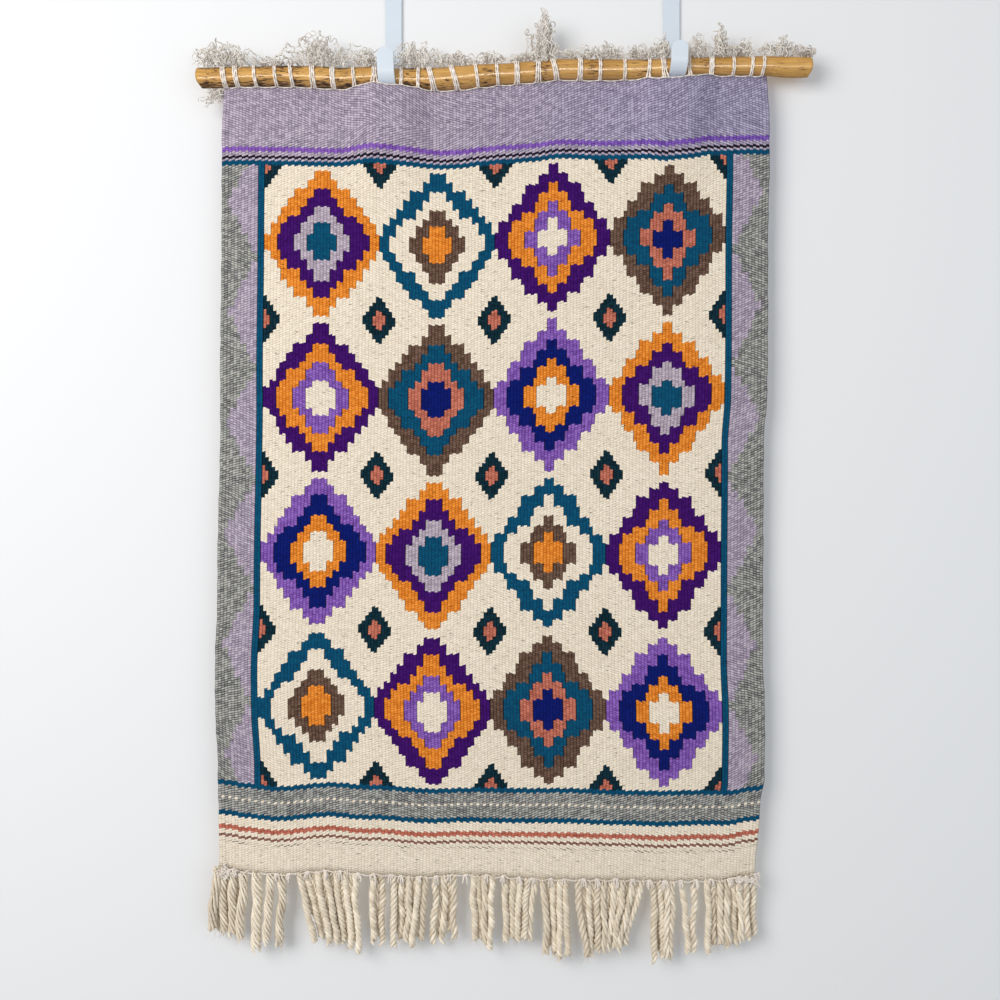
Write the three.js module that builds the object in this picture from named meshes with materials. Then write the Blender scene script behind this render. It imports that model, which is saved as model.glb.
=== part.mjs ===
// Handwoven wool tapestry, lashed with its own cotton warp ends to a crooked stick
// that lies in two strap hooks made to hang over a door.
//
// Millimetres, +Z up. X runs along the stick and the woven face looks along -Y.
// The origin is the middle of the stick's axis.

import * as THREE from "three";

// ---------------------------------------------------------------- driving dimensions

const CLEARANCE = 0.6;

const CLOTH_THICK = 3;
const CLOTH_ROW_DEPTHS = [
  0, 5, 12, 22, 36, 54, 78, 120, 180, 245, 310, 375, 440, 505, 570, 640, 710, 785, 860,
];
const CLOTH_COLUMN_PITCH = 20;
const HEM_WAVE = { height: 1.1, pitch: 47 };

const ROD_SIDES = 12;
const ROD_STATION_PITCH = 17;
const ROD_END_SLANT = 2.4;

const LASHING = { wide: 3.6, thick: 1, sides: 14, gap: 0.55 };

const FRINGE = { thick: 8, spine: 7, ropeWide: 9, notch: 7 };
const WARP_ENDS = { front: -3.5, back: 6.5, ridge: 3.5, above: 1.2 };

const HOOK = {
  wide: 19.5,
  thick: 1.6,
  cradleRadius: 20,
  plateLength: 17,
  plateLean: 8,
  doorGap: 36,
  bendRadius: 3,
  saddleUnderside: 112,
  backLeg: 40,
};

// Where a hook's J pushes the panel's top edge forward.
const HOOK_SWELL = { out: 16.5, lift: 1, flat: 13, reach: 38, depth: 80 };

// ---------------------------------------------------------------- tables

// The stick's axis height and diameter along its length.
const ROD = [
  { x: -334.5, z: -4.4, across: 21.8 },
  { x: -277, z: -2.8, across: 20.8 },
  { x: -225, z: -2.2, across: 22.2 },
  { x: -200, z: -3.4, across: 22.8 },
  { x: -179, z: -4.9, across: 22 },
  { x: -146, z: -3.6, across: 21 },
  { x: -108, z: -5.3, across: 22 },
  { x: -70, z: -5.5, across: 24 },
  { x: -48, z: -4, across: 25 },
  { x: -26, z: -1.7, across: 24.4 },
  { x: 1, z: 0, across: 22.4 },
  { x: 28, z: 2.2, across: 22.4 },
  { x: 61, z: 5.1, across: 21.6 },
  { x: 105, z: 4.8, across: 22 },
  { x: 148, z: 5, across: 21 },
  { x: 203, z: 8.2, across: 19.4 },
  { x: 257, z: 8.7, across: 19.6 },
  { x: 285, z: 8.7, across: 20.4 },
  { x: 312, z: 7.6, across: 22 },
  { x: 334.7, z: 7.6, across: 21.2 },
];

// The panel's side edges by height.
const LEFT_EDGE = [
  { z: -15, x: -306 },
  { z: -83, x: -309.6 },
  { z: -355, x: -310.1 },
  { z: -573, x: -312.3 },
  { z: -650, x: -315 },
  { z: -693, x: -314.5 },
  { z: -759, x: -311.6 },
  { z: -868, x: -310.5 },
];
const RIGHT_EDGE = [
  { z: -5, x: 287.8 },
  { z: -355, x: 286.7 },
  { z: -410, x: 283.4 },
  { z: -640, x: 282.4 },
  { z: -700, x: 284.2 },
  { z: -770, x: 283.6 },
  { z: -800, x: 279 },
  { z: -875, x: 274.2 },
];

// The panel's bottom edge, which the weaver beat unevenly.
const BOTTOM_EDGE = [
  { x: -311, z: -864 },
  { x: -277, z: -868.7 },
  { x: -250, z: -871 },
  { x: -190, z: -866.8 },
  { x: -150, z: -871 },
  { x: -87, z: -874.2 },
  { x: -48, z: -872 },
  { x: 61, z: -876.4 },
  { x: 126, z: -876.9 },
  { x: 176, z: -879.1 },
  { x: 241, z: -877.6 },
  { x: 257, z: -873.7 },
  { x: 275, z: -871 },
];

// Soft swells (out > 0) and hollows (out < 0) of the hanging panel.
const SWELLS = [
  { x: -220, z: -300, wide: 120, high: 105, out: 3 },
  { x: 20, z: -290, wide: 150, high: 110, out: 2.4 },
  { x: 225, z: -305, wide: 100, high: 110, out: 3.4 },
  { x: -20, z: -490, wide: 240, high: 120, out: -2.6 },
  { x: 290, z: -520, wide: 60, high: 150, out: -3.2 },
  { x: -265, z: -685, wide: 100, high: 95, out: 4 },
  { x: -60, z: -690, wide: 130, high: 100, out: 2.6 },
  { x: 185, z: -705, wide: 130, high: 95, out: 3.6 },
];

// Each bundle of fringe ropes: its first and last rope where they leave the hem and at
// their tips, and how low those two tips hang. Short ropes are caught up near the hem.
const BUNDLES = [
  { ropes: 4, from: -316.5, to: -283.5, tipFrom: -315, tipTo: -285.5, lowFrom: -942, lowTo: -948 },
  { ropes: 1, from: -268, to: -268, tipFrom: -269.5, tipTo: -269.5, lowFrom: -959, lowTo: -959 },
  { ropes: 2, from: -254, to: -241.5, tipFrom: -254, tipTo: -247, lowFrom: -947, lowTo: -958 },
  { ropes: 7, from: -224.5, to: -161.5, tipFrom: -206, tipTo: -160.5, lowFrom: -947, lowTo: -957 },
  { ropes: 2, from: -143.5, to: -133.5, tipFrom: -143, tipTo: -134, lowFrom: -949, lowTo: -949 },
  { ropes: 5, from: -119.5, to: -85.5, tipFrom: -119, tipTo: -91.5, lowFrom: -948, lowTo: -953 },
  { ropes: 3, from: -74, to: -55, tipFrom: -76, tipTo: -56, lowFrom: -948, lowTo: -946 },
  { ropes: 4, from: -34, to: -15.5, tipFrom: -31, tipTo: -15.5, lowFrom: -951, lowTo: -956 },
  { ropes: 4, from: 5, to: 30, tipFrom: 2, tipTo: 30, lowFrom: -949, lowTo: -948 },
  { ropes: 3, from: 46.5, to: 65, tipFrom: 49, tipTo: 67, lowFrom: -969, lowTo: -967 },
  { ropes: 3, from: 86.5, to: 105, tipFrom: 91, tipTo: 102, lowFrom: -964, lowTo: -972 },
  { ropes: 3, from: 122.5, to: 142.5, tipFrom: 112, tipTo: 126, lowFrom: -964, lowTo: -963 },
  { ropes: 3, from: 162.5, to: 181.5, tipFrom: 166.5, tipTo: 181.5, lowFrom: -968, lowTo: -967 },
  { ropes: 2, from: 197.5, to: 207.5, tipFrom: 199, tipTo: 206.5, lowFrom: -963, lowTo: -963 },
  { ropes: 6, from: 224, to: 270.5, tipFrom: 224, tipTo: 271.5, lowFrom: -960, lowTo: -947 },
];

// Tufts of warp ends: middle, half width and height above the stick.
const TUFTS = [
  { x: -307, half: 29, high: 26 },
  { x: -253, half: 19, high: 10 },
  { x: -203, half: 28, high: 37 },
  { x: -147, half: 10, high: 17 },
  { x: -99, half: 20, high: 29 },
  { x: -58, half: 23, high: 15 },
  { x: -15, half: 13, high: 14 },
  { x: 17, half: 14, high: 7 },
  { x: 42.5, half: 11, high: 51 },
  { x: 78, half: 16, high: 10 },
  { x: 112, half: 12, high: 16 },
  { x: 146, half: 15, high: 17 },
  { x: 172, half: 10, high: 22 },
  { x: 210, half: 11, high: 25 },
  { x: 235, half: 6, high: 33 },
  { x: 258, half: 14, high: 21 },
  { x: 304, half: 19, high: 18 },
  { x: 327, half: 10, high: 7 },
];

// Lashings: middle of each turn and how far its foot lies to the right of its top.
const LASHINGS = [
  { x: -304.2, slant: 3 },
  { x: -290.9, slant: 3 },
  { x: -270.5, slant: 2.4 },
  { x: -248.2, slant: 1.8 },
  { x: -230.9, slant: 3.2 },
  { x: -207.6, slant: 1.9 },
  { x: -185.8, slant: 1.2 },
  { x: -163.1, slant: 1.9 },
  { x: -140.4, slant: 0.6 },
  { x: -111.2, slant: 0 },
  { x: -92.9, slant: -0.8 },
  { x: -79.1, slant: 6.6 },
  { x: -54.8, slant: 7.6 },
  { x: -30, slant: 3.6 },
  { x: -7.6, slant: 2.2 },
  { x: 14, slant: 1.1 },
  { x: 37.1, slant: 0 },
  { x: 54.4, slant: 5.6 },
  { x: 82.6, slant: 0 },
  { x: 104.3, slant: 0 },
  { x: 130.8, slant: 0 },
  { x: 157.1, slant: -2.2 },
  { x: 173, slant: 1.6 },
  { x: 200.6, slant: 0 },
  { x: 224.9, slant: 0 },
  { x: 249, slant: 0 },
  { x: 269.1, slant: -1.2 },
  { x: 281.6, slant: -2 },
];

// Hooks: middle of the strap, and how far the plate stands to the right of it.
const HOOKS = [
  { name: "hook_left", x: -122.4, skew: -4.9 },
  { name: "hook_right", x: 185.7, skew: 2.8 },
];

// ---------------------------------------------------------------- colours

const MATERIALS = {
  cloth: new THREE.MeshStandardMaterial({ color: "#d3c6ae", roughness: 0.95, metalness: 0 }),
  wool: new THREE.MeshStandardMaterial({ color: "#cfc1ab", roughness: 0.95, metalness: 0 }),
  cotton: new THREE.MeshStandardMaterial({ color: "#ded3c4", roughness: 0.9, metalness: 0 }),
  warp: new THREE.MeshStandardMaterial({ color: "#b9b1a6", roughness: 0.9, metalness: 0 }),
  wood: new THREE.MeshStandardMaterial({ color: "#c98f45", roughness: 0.35, metalness: 0 }),
  paint: new THREE.MeshStandardMaterial({ color: "#dfe6ee", roughness: 0.35, metalness: 0 }),
};

// ---------------------------------------------------------------- helpers

// A column of a table, eased smoothly between its rows.
function readTable(table, key, column, at) {
  const last = table.length - 1;
  const rising = table[last][key] > table[0][key];
  const next = table.findIndex((row) => (rising ? row[key] >= at : row[key] <= at));
  if (next === 0) return table[0][column];
  if (next === -1) return table[last][column];
  const before = table[next - 1];
  const after = table[next];
  const share = (at - before[key]) / (after[key] - before[key]);
  return THREE.MathUtils.lerp(before[column], after[column], share * share * (3 - 2 * share));
}

function solidFrom(points, triangles) {
  const geometry = new THREE.BufferGeometry();
  geometry.setAttribute("position", new THREE.Float32BufferAttribute(points.flat(), 3));
  geometry.setIndex(triangles.flat());
  geometry.computeVertexNormals();
  return geometry;
}

// A closed body skinned over a row of sections that all have the same number of corners.
// The corners run counterclockwise as seen looking back from the last section.
function loft(sections) {
  const corners = sections[0].length;
  const triangles = [];
  for (let s = 0; s < sections.length - 1; s += 1) {
    for (let c = 0; c < corners; c += 1) {
      const near = s * corners + c;
      const nearNext = s * corners + ((c + 1) % corners);
      triangles.push([near, nearNext, nearNext + corners]);
      triangles.push([near, nearNext + corners, near + corners]);
    }
  }
  const end = (sections.length - 1) * corners;
  for (let c = 1; c < corners - 1; c += 1) {
    triangles.push([0, c + 1, c]);
    triangles.push([end, end + c, end + c + 1]);
  }
  return solidFrom(sections.flat(), triangles);
}

// A section across X for a loft: a box between two depths and two heights.
function boxSection(x, front, back, low, high) {
  return [[x, front, low], [x, back, low], [x, back, high], [x, front, high]];
}

function named(name, geometry, material) {
  const mesh = new THREE.Mesh(geometry, material);
  mesh.name = name;
  return mesh;
}

// ---------------------------------------------------------------- stick

const rodAxis = (x) => readTable(ROD, "x", "z", x);
const rodRadius = (x) => readTable(ROD, "x", "across", x) / 2;

// Corner radii of a lashing's band at x, so that its flats clear the stick.
const bandInner = (x) => (rodRadius(x) + LASHING.gap) / Math.cos(Math.PI / LASHING.sides);
const bandOuter = (x) => bandInner(x) + LASHING.thick;

function rodGeometry() {
  const start = ROD[0].x;
  const length = ROD[ROD.length - 1].x - start;
  const steps = Math.round(length / ROD_STATION_PITCH);
  const sections = [];
  for (let s = 0; s <= steps; s += 1) {
    const x = start + (length * s) / steps;
    const endSlant = { 0: -ROD_END_SLANT, [steps]: ROD_END_SLANT }[s] ?? 0;
    const section = [];
    for (let c = 0; c < ROD_SIDES; c += 1) {
      const angle = (2 * Math.PI * c) / ROD_SIDES;
      const y = rodRadius(x) * Math.cos(angle);
      const z = rodAxis(x) + rodRadius(x) * Math.sin(angle);
      section.push([x + endSlant * Math.sin(angle), y, z]);
    }
    sections.push(section);
  }
  return loft(sections);
}

// ---------------------------------------------------------------- woven panel

const easeOut = (share) => {
  const s = THREE.MathUtils.clamp(share, 0, 1);
  return 1 - s * s * (3 - 2 * s);
};

// How much a hook pushes on the top edge at x, from 0 to 1.
function hookPush(x) {
  const pushes = HOOKS.map((hook) => {
    const away = Math.abs(x - hook.x - hook.skew / 2);
    return easeOut((away - HOOK_SWELL.flat) / (HOOK_SWELL.reach - HOOK_SWELL.flat));
  });
  return Math.max(...pushes);
}

function topEdge(x) {
  return rodAxis(x) - bandOuter(x) - CLEARANCE + HOOK_SWELL.lift * hookPush(x);
}

const bottomEdge = (x) => readTable(BOTTOM_EDGE, "x", "z", x);

// Depth of the panel's middle layer at a place on it.
function clothDepth(x, z) {
  const below = easeOut((topEdge(x) - z - 8) / HOOK_SWELL.depth);
  let out = HOOK_SWELL.out * hookPush(x) * below;
  for (const swell of SWELLS) {
    const away = Math.hypot((x - swell.x) / swell.wide, (z - swell.z) / swell.high);
    out += swell.out * easeOut(away);
  }
  const hemness = easeOut((z - bottomEdge(x)) / 120);
  out += HEM_WAVE.height * hemness * Math.sin(x / HEM_WAVE.pitch);
  return -out;
}

// The panel's columns as shares of its width: even, and closer together at the hooks.
function clothColumns() {
  const left = LEFT_EDGE[0].x;
  const width = RIGHT_EDGE[0].x - left;
  const columns = [];
  for (const hook of HOOKS) {
    for (const offset of [-38, -31, -25, -19, -12, -4, 4, 12, 19, 25, 31, 38]) {
      columns.push((hook.x + hook.skew / 2 + offset - left) / width);
    }
  }
  const steps = Math.round(width / CLOTH_COLUMN_PITCH);
  for (let s = 0; s <= steps; s += 1) {
    const crowded = columns.some((other) => Math.abs(other - s / steps) < 0.45 / steps);
    if (!crowded) columns.push(s / steps);
  }
  return columns.sort((a, b) => a - b);
}

// Rows of points on the panel's middle layer, from the top edge down to the bottom edge.
function clothRows() {
  const deepest = CLOTH_ROW_DEPTHS[CLOTH_ROW_DEPTHS.length - 1];
  const columns = clothColumns();
  const across = (depth, share) => {
    const left = readTable(LEFT_EDGE, "z", "x", -15 - depth);
    const right = readTable(RIGHT_EDGE, "z", "x", -15 - depth);
    return THREE.MathUtils.lerp(left, right, share);
  };
  return CLOTH_ROW_DEPTHS.map((depth) => columns.map((share) => {
    const top = topEdge(across(0, share));
    const bottom = bottomEdge(across(deepest, share));
    const x = across(depth, share);
    const z = THREE.MathUtils.lerp(top, bottom, depth / deepest);
    return new THREE.Vector3(x, clothDepth(x, z), z);
  }));
}

const CLOTH_ROWS = clothRows();
const TOP_LINE = CLOTH_ROWS[0];
const HEM_LINE = CLOTH_ROWS[CLOTH_ROWS.length - 1];

// The point at x on the straight runs between an edge line's points.
function onLine(line, x) {
  const after = line.findIndex((point) => point.x > x);
  const next = after === -1 ? line.length - 1 : Math.max(after, 1);
  const share = (x - line[next - 1].x) / (line[next].x - line[next - 1].x);
  return line[next - 1].clone().lerp(line[next], THREE.MathUtils.clamp(share, 0, 1));
}

function clothGeometry() {
  const points = [];
  for (const side of [-1, 1]) {
    for (const row of CLOTH_ROWS) {
      for (const point of row) {
        points.push([point.x, point.y + (side * CLOTH_THICK) / 2, point.z]);
      }
    }
  }
  const rows = CLOTH_ROWS.length;
  const across = TOP_LINE.length;
  const back = rows * across;
  const triangles = [];
  for (let r = 0; r < rows - 1; r += 1) {
    for (let c = 0; c < across - 1; c += 1) {
      const here = r * across + c;
      const under = here + across;
      triangles.push([here, under, under + 1], [here, under + 1, here + 1]);
      triangles.push([back + here, back + under + 1, back + under]);
      triangles.push([back + here, back + here + 1, back + under + 1]);
    }
  }
  const rim = [];
  for (let c = 0; c < across; c += 1) rim.push(c);
  for (let r = 1; r < rows; r += 1) rim.push(r * across + across - 1);
  for (let c = across - 2; c >= 0; c -= 1) rim.push((rows - 1) * across + c);
  for (let r = rows - 2; r > 0; r -= 1) rim.push(r * across);
  rim.forEach((front, i) => {
    const next = rim[(i + 1) % rim.length];
    triangles.push([front, next, back + next], [front, back + next, back + front]);
  });
  return solidFrom(points, triangles);
}

// ---------------------------------------------------------------- fringe and warp ends

// The fringe's lower outline, from left to right: each bundle's slanting sides, its tips
// and a notch between each two tips. Between bundles it runs along the row of knots.
function fringeOutline() {
  const outline = [];
  const half = FRINGE.ropeWide / 2;
  const add = (x, low) => {
    const before = outline.length ? outline[outline.length - 1].x : -Infinity;
    outline.push({ x: Math.max(x, before + 0.5), low });
  };
  for (const bundle of BUNDLES) {
    const pitch = (bundle.tipTo - bundle.tipFrom) / Math.max(1, bundle.ropes - 1);
    const tipHalf = bundle.ropes > 1 ? pitch / 3 : half * 0.8;
    add(bundle.from - half, null);
    for (let r = 0; r < bundle.ropes; r += 1) {
      const share = bundle.ropes > 1 ? r / (bundle.ropes - 1) : 0;
      const tip = THREE.MathUtils.lerp(bundle.tipFrom, bundle.tipTo, share);
      const low = THREE.MathUtils.lerp(bundle.lowFrom, bundle.lowTo, share);
      if (r > 0) add(tip - pitch / 2, low + FRINGE.notch);
      add(r > 0 ? tip - tipHalf : tip - half * 0.8, low);
      add(r < bundle.ropes - 1 ? tip + tipHalf : Math.min(tip, bundle.to) + half * 0.8, low);
    }
    add(bundle.to + half, null);
  }
  return outline;
}

function fringeGeometry() {
  const outline = fringeOutline();
  const first = outline[0].x;
  const last = outline[outline.length - 1].x;
  const lowAt = (corner) => corner.low ?? onLine(HEM_LINE, corner.x).z - CLEARANCE - FRINGE.spine;
  const stations = outline.map((corner) => ({ x: corner.x, low: lowAt(corner) }));
  for (const point of HEM_LINE) {
    const next = stations.findIndex((station) => station.x > point.x);
    if (point.x <= first || point.x >= last || next < 1) continue;
    const before = stations[next - 1];
    const share = (point.x - before.x) / (stations[next].x - before.x);
    const low = THREE.MathUtils.lerp(before.low, stations[next].low, share);
    if (share > 1e-6) stations.splice(next, 0, { x: point.x, low });
  }
  const sections = stations.map((station) => {
    const hem = onLine(HEM_LINE, station.x);
    const half = FRINGE.thick / 2;
    return boxSection(station.x, hem.y - half, hem.y + half, station.low, hem.z - CLEARANCE);
  });
  return loft(sections);
}

function tuftHeight(x) {
  const heights = TUFTS.map((tuft) => tuft.high * easeOut(Math.abs(x - tuft.x) / tuft.half));
  return Math.max(WARP_ENDS.ridge, ...heights);
}

function warpEndsGeometry() {
  const stations = new Set(ROD.slice(1, -1).map((row) => row.x));
  for (const tuft of TUFTS) {
    for (const share of [-1, -0.6, -0.3, 0, 0.3, 0.6, 1]) {
      const x = Math.round(tuft.x + share * tuft.half);
      if (x > ROD[0].x + 4 && x < ROD[ROD.length - 1].x - 4) stations.add(x);
    }
  }
  const ordered = [...stations].sort((a, b) => a - b);
  const sections = ordered.map((x) => {
    const low = rodAxis(x) + bandOuter(x) + WARP_ENDS.above;
    return boxSection(x, WARP_ENDS.front, WARP_ENDS.back, low, low + tuftHeight(x));
  });
  return loft(sections);
}

// ---------------------------------------------------------------- lashings

// A band round the stick whose foot is drawn out to the panel's top edge.
function lashingGeometry(lashing) {
  const edge = onLine(TOP_LINE, lashing.x + lashing.slant / 2);
  const axis = rodAxis(lashing.x);
  const inner = bandInner(lashing.x);
  const outer = bandOuter(lashing.x);
  const foot = new THREE.Vector2(edge.y, edge.z + CLEARANCE - axis);
  const start = Math.atan2(foot.y, foot.x);
  const ring = new THREE.Shape();
  const hole = new THREE.Path();
  for (let s = 0; s < LASHING.sides; s += 1) {
    const angle = start + (2 * Math.PI * s) / LASHING.sides;
    const corner = new THREE.Vector2(Math.cos(angle), Math.sin(angle));
    const rim = s === 0 ? foot : corner.clone().multiplyScalar(outer);
    if (s === 0) {
      ring.moveTo(rim.x, rim.y);
      hole.moveTo(corner.x * inner, corner.y * inner);
    } else {
      ring.lineTo(rim.x, rim.y);
      hole.lineTo(corner.x * inner, corner.y * inner);
    }
  }
  ring.holes.push(hole);
  const band = new THREE.ExtrudeGeometry(ring, { depth: LASHING.wide, bevelEnabled: false });
  const places = band.getAttribute("position");
  for (let p = 0; p < places.count; p += 1) {
    const depth = places.getX(p);
    const height = places.getY(p);
    const shift = (-lashing.slant * height) / (2 * outer);
    const x = lashing.x + shift + places.getZ(p) - LASHING.wide / 2;
    places.setXYZ(p, x, depth, height + axis);
  }
  band.computeVertexNormals();
  return band;
}

// ---------------------------------------------------------------- hooks

// The strap's middle line in depth and height, as stations with the strap's heading.
function strapStations(hook) {
  const seat = [-0.6, 0, 0.6].map((share) => hook.x + hook.skew / 2 + share * HOOK.wide);
  const underside = Math.min(...seat.map((x) => rodAxis(x) - rodRadius(x)));
  const cradleMiddle = underside - CLEARANCE + HOOK.cradleRadius - HOOK.thick / 2;
  const lean = THREE.MathUtils.degToRad(HOOK.plateLean);
  const strapTop = HOOK.saddleUnderside + HOOK.thick / 2 - HOOK.bendRadius;
  const saddle = HOOK.doorGap + HOOK.thick - 2 * HOOK.bendRadius;
  const moves = [
    { straight: HOOK.plateLength, turn: Math.PI - lean, radius: HOOK.cradleRadius, steps: 12 },
    { straight: strapTop - cradleMiddle, turn: -Math.PI / 2, radius: HOOK.bendRadius, steps: 4 },
    { straight: saddle, turn: -Math.PI / 2, radius: HOOK.bendRadius, steps: 4 },
    { straight: HOOK.backLeg, turn: 0, radius: 0, steps: 0 },
  ];
  let heading = -Math.PI / 2 + lean;
  const place = new THREE.Vector2(Math.sin(heading), -Math.cos(heading));
  place.multiplyScalar(HOOK.cradleRadius);
  place.x -= HOOK.plateLength * Math.cos(heading);
  place.y += cradleMiddle - HOOK.plateLength * Math.sin(heading);
  const stations = [{ place: place.clone(), heading }];
  for (const move of moves) {
    place.x += move.straight * Math.cos(heading);
    place.y += move.straight * Math.sin(heading);
    stations.push({ place: place.clone(), heading });
    for (let s = 0; s < move.steps; s += 1) {
      const angle = move.turn / move.steps;
      const chord = 2 * move.radius * Math.sin(Math.abs(angle) / 2);
      place.x += chord * Math.cos(heading + angle / 2);
      place.y += chord * Math.sin(heading + angle / 2);
      heading += angle;
      stations.push({ place: place.clone(), heading });
    }
  }
  return stations;
}

// Stations inside a rounded end: share of the half width, and distance from the tip.
function roundedTip(tip, inward) {
  const radius = HOOK.wide / 2;
  return [0.35, 0.7, 0.92].map((share) => {
    const back = radius * (1 - Math.sqrt(1 - share * share)) * 0.8;
    const place = tip.place.clone();
    place.x += inward * back * Math.cos(tip.heading);
    place.y += inward * back * Math.sin(tip.heading);
    return { place, heading: tip.heading, half: radius * share };
  });
}

function hookGeometry(hook) {
  const path = strapStations(hook);
  const radius = HOOK.wide / 2;
  const first = path.shift();
  const last = path.pop();
  const shoulder = { place: first.place.clone(), heading: first.heading };
  shoulder.place.x += 0.8 * radius * Math.cos(first.heading);
  shoulder.place.y += 0.8 * radius * Math.sin(first.heading);
  const stations = [
    ...roundedTip(first, 1),
    shoulder,
    ...path,
    ...roundedTip(last, -1).reverse(),
  ];
  const sections = stations.map(({ place, heading, half = radius }) => {
    const forward = (HOOK.cradleRadius - place.x) / (2 * HOOK.cradleRadius);
    const x = hook.x + hook.skew * THREE.MathUtils.clamp(forward, 0, 1.1);
    const offY = (-Math.sin(heading) * HOOK.thick) / 2;
    const offZ = (Math.cos(heading) * HOOK.thick) / 2;
    return [
      [x - half, place.x + offY, place.y + offZ],
      [x + half, place.x + offY, place.y + offZ],
      [x + half, place.x - offY, place.y - offZ],
      [x - half, place.x - offY, place.y - offZ],
    ];
  });
  return loft(sections);
}

// ---------------------------------------------------------------- assembly

const tapestry = new THREE.Group();
tapestry.add(named("cloth", clothGeometry(), MATERIALS.cloth));
tapestry.add(named("fringe", fringeGeometry(), MATERIALS.wool));
tapestry.add(named("warp_ends", warpEndsGeometry(), MATERIALS.warp));
tapestry.add(named("rod", rodGeometry(), MATERIALS.wood));
LASHINGS.forEach((lashing, i) => {
  const name = `lashing_${String(i + 1).padStart(2, "0")}`;
  tapestry.add(named(name, lashingGeometry(lashing), MATERIALS.cotton));
});
for (const hook of HOOKS) {
  tapestry.add(named(hook.name, hookGeometry(hook), MATERIALS.paint));
}

export default tapestry;
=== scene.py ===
"""Looks for a handwoven wool tapestry that hangs from a crooked stick in two door hooks.

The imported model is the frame, and every piece here dresses a part of it. Sizes are in
millimetres until a mesh is made, and in metres from then on. X runs along the stick, the
woven face looks along -Y, +Z is up, and the origin is the middle of the stick's axis.
"""

import logging
import math
from dataclasses import dataclass
from enum import Enum
from typing import Any, Callable, Iterable, Sequence, Union

import bpy
import numpy as np
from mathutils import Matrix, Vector

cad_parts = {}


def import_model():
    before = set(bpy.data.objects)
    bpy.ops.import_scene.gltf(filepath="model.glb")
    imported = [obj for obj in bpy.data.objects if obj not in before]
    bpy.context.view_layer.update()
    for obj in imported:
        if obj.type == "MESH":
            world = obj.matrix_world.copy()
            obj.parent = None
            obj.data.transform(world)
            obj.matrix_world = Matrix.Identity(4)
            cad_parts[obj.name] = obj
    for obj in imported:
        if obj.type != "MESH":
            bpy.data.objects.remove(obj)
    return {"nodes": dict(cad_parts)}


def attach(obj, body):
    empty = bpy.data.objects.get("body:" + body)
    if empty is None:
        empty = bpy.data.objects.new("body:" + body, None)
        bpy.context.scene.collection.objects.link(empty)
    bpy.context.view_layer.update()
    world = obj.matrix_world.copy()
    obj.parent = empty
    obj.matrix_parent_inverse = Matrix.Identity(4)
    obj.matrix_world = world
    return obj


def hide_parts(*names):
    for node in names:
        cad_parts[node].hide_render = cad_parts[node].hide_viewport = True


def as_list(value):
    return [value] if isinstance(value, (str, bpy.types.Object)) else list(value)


LOG = logging.getLogger("tapestry")
MM = 0.001
ROOT = "root"

Array = np.ndarray
Row = tuple[float, ...]
Inputs = dict[Union[int, str], Any]


# ---------------------------------------------------------------- small tools


def linear(code: str) -> tuple[float, float, float, float]:
    """Turn an sRGB hex colour into linear light.

    Args:
        code: a colour such as "#e4d9c3".

    Returns:
        Red, green, blue and an alpha of 1, as shader sockets take them.
    """
    parts = [int(code[i : i + 2], 16) / 255 for i in (1, 3, 5)]
    red, green, blue = (
        p / 12.92 if p <= 0.04045 else ((p + 0.055) / 1.055) ** 2.4 for p in parts
    )
    return red, green, blue, 1.0


def add_node(
    tree: bpy.types.NodeTree, kind: str, settings: dict[str, Any], inputs: Inputs
) -> bpy.types.Node:
    """Add a node with its settings and links.

    Args:
        tree: the material's or geometry's node tree.
        kind: the node's type name.
        settings: properties of the node by name.
        inputs: for each input, by name or number, a socket to link or a value to set.

    Returns:
        The new node.
    """
    node = tree.nodes.new(kind)
    for name, value in settings.items():
        setattr(node, name, value)
    for key, value in inputs.items():
        value = getattr(value, "socket", value)
        if isinstance(value, bpy.types.NodeSocket):
            tree.links.new(value, node.inputs[key])
        else:
            node.inputs[key].default_value = value
    return node


def read_rows(rows: Sequence[Row], at: Array, column: int = 1) -> Array:
    """Read a table eased smoothly between its rows, as the frame's own curves are.

    Args:
        rows: the table, sorted by its first column, rising or falling.
        at: the places to read it at.
        column: the column to read.

    Returns:
        The column's values there; past the ends they stay the same.
    """
    table = np.array(rows, dtype=float)
    if table[0, 0] > table[-1, 0]:
        table = table[::-1]
    keys, values = table[:, 0], table[:, column]
    at = np.clip(np.asarray(at, dtype=float), keys[0], keys[-1])
    after = np.clip(np.searchsorted(keys, at), 1, len(keys) - 1)
    share = (at - keys[after - 1]) / (keys[after] - keys[after - 1])
    share = share * share * (3 - 2 * share)
    return values[after - 1] + share * (values[after] - values[after - 1])


def ease_out(share: Array) -> Array:
    """Fall smoothly from 1 at a share of 0 to 0 at a share of 1."""
    s = np.clip(share, 0, 1)
    return 1 - s * s * (3 - 2 * s)


def flowing(points: Sequence[Sequence[float]], spans: int = 5) -> Array:
    """Draw a smooth path through a few points.

    Args:
        points: the points that the path passes, with any number of columns.
        spans: how many steps each gap between two points gets.

    Returns:
        The path's points, one row each.
    """
    p = np.array(points, dtype=float)
    p = np.vstack([2 * p[0] - p[1], p, 2 * p[-1] - p[-2]])
    made = []
    for a, b, c, d in zip(p[:-3], p[1:-2], p[2:-1], p[3:]):
        for t in np.arange(spans) / spans:
            bend = (2 * a - 5 * b + 4 * c - d) * t * t + (3 * b - a - 3 * c + d) * t**3
            made.append(b + 0.5 * ((c - a) * t + bend))
    return np.array([*made, p[-2]])


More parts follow.
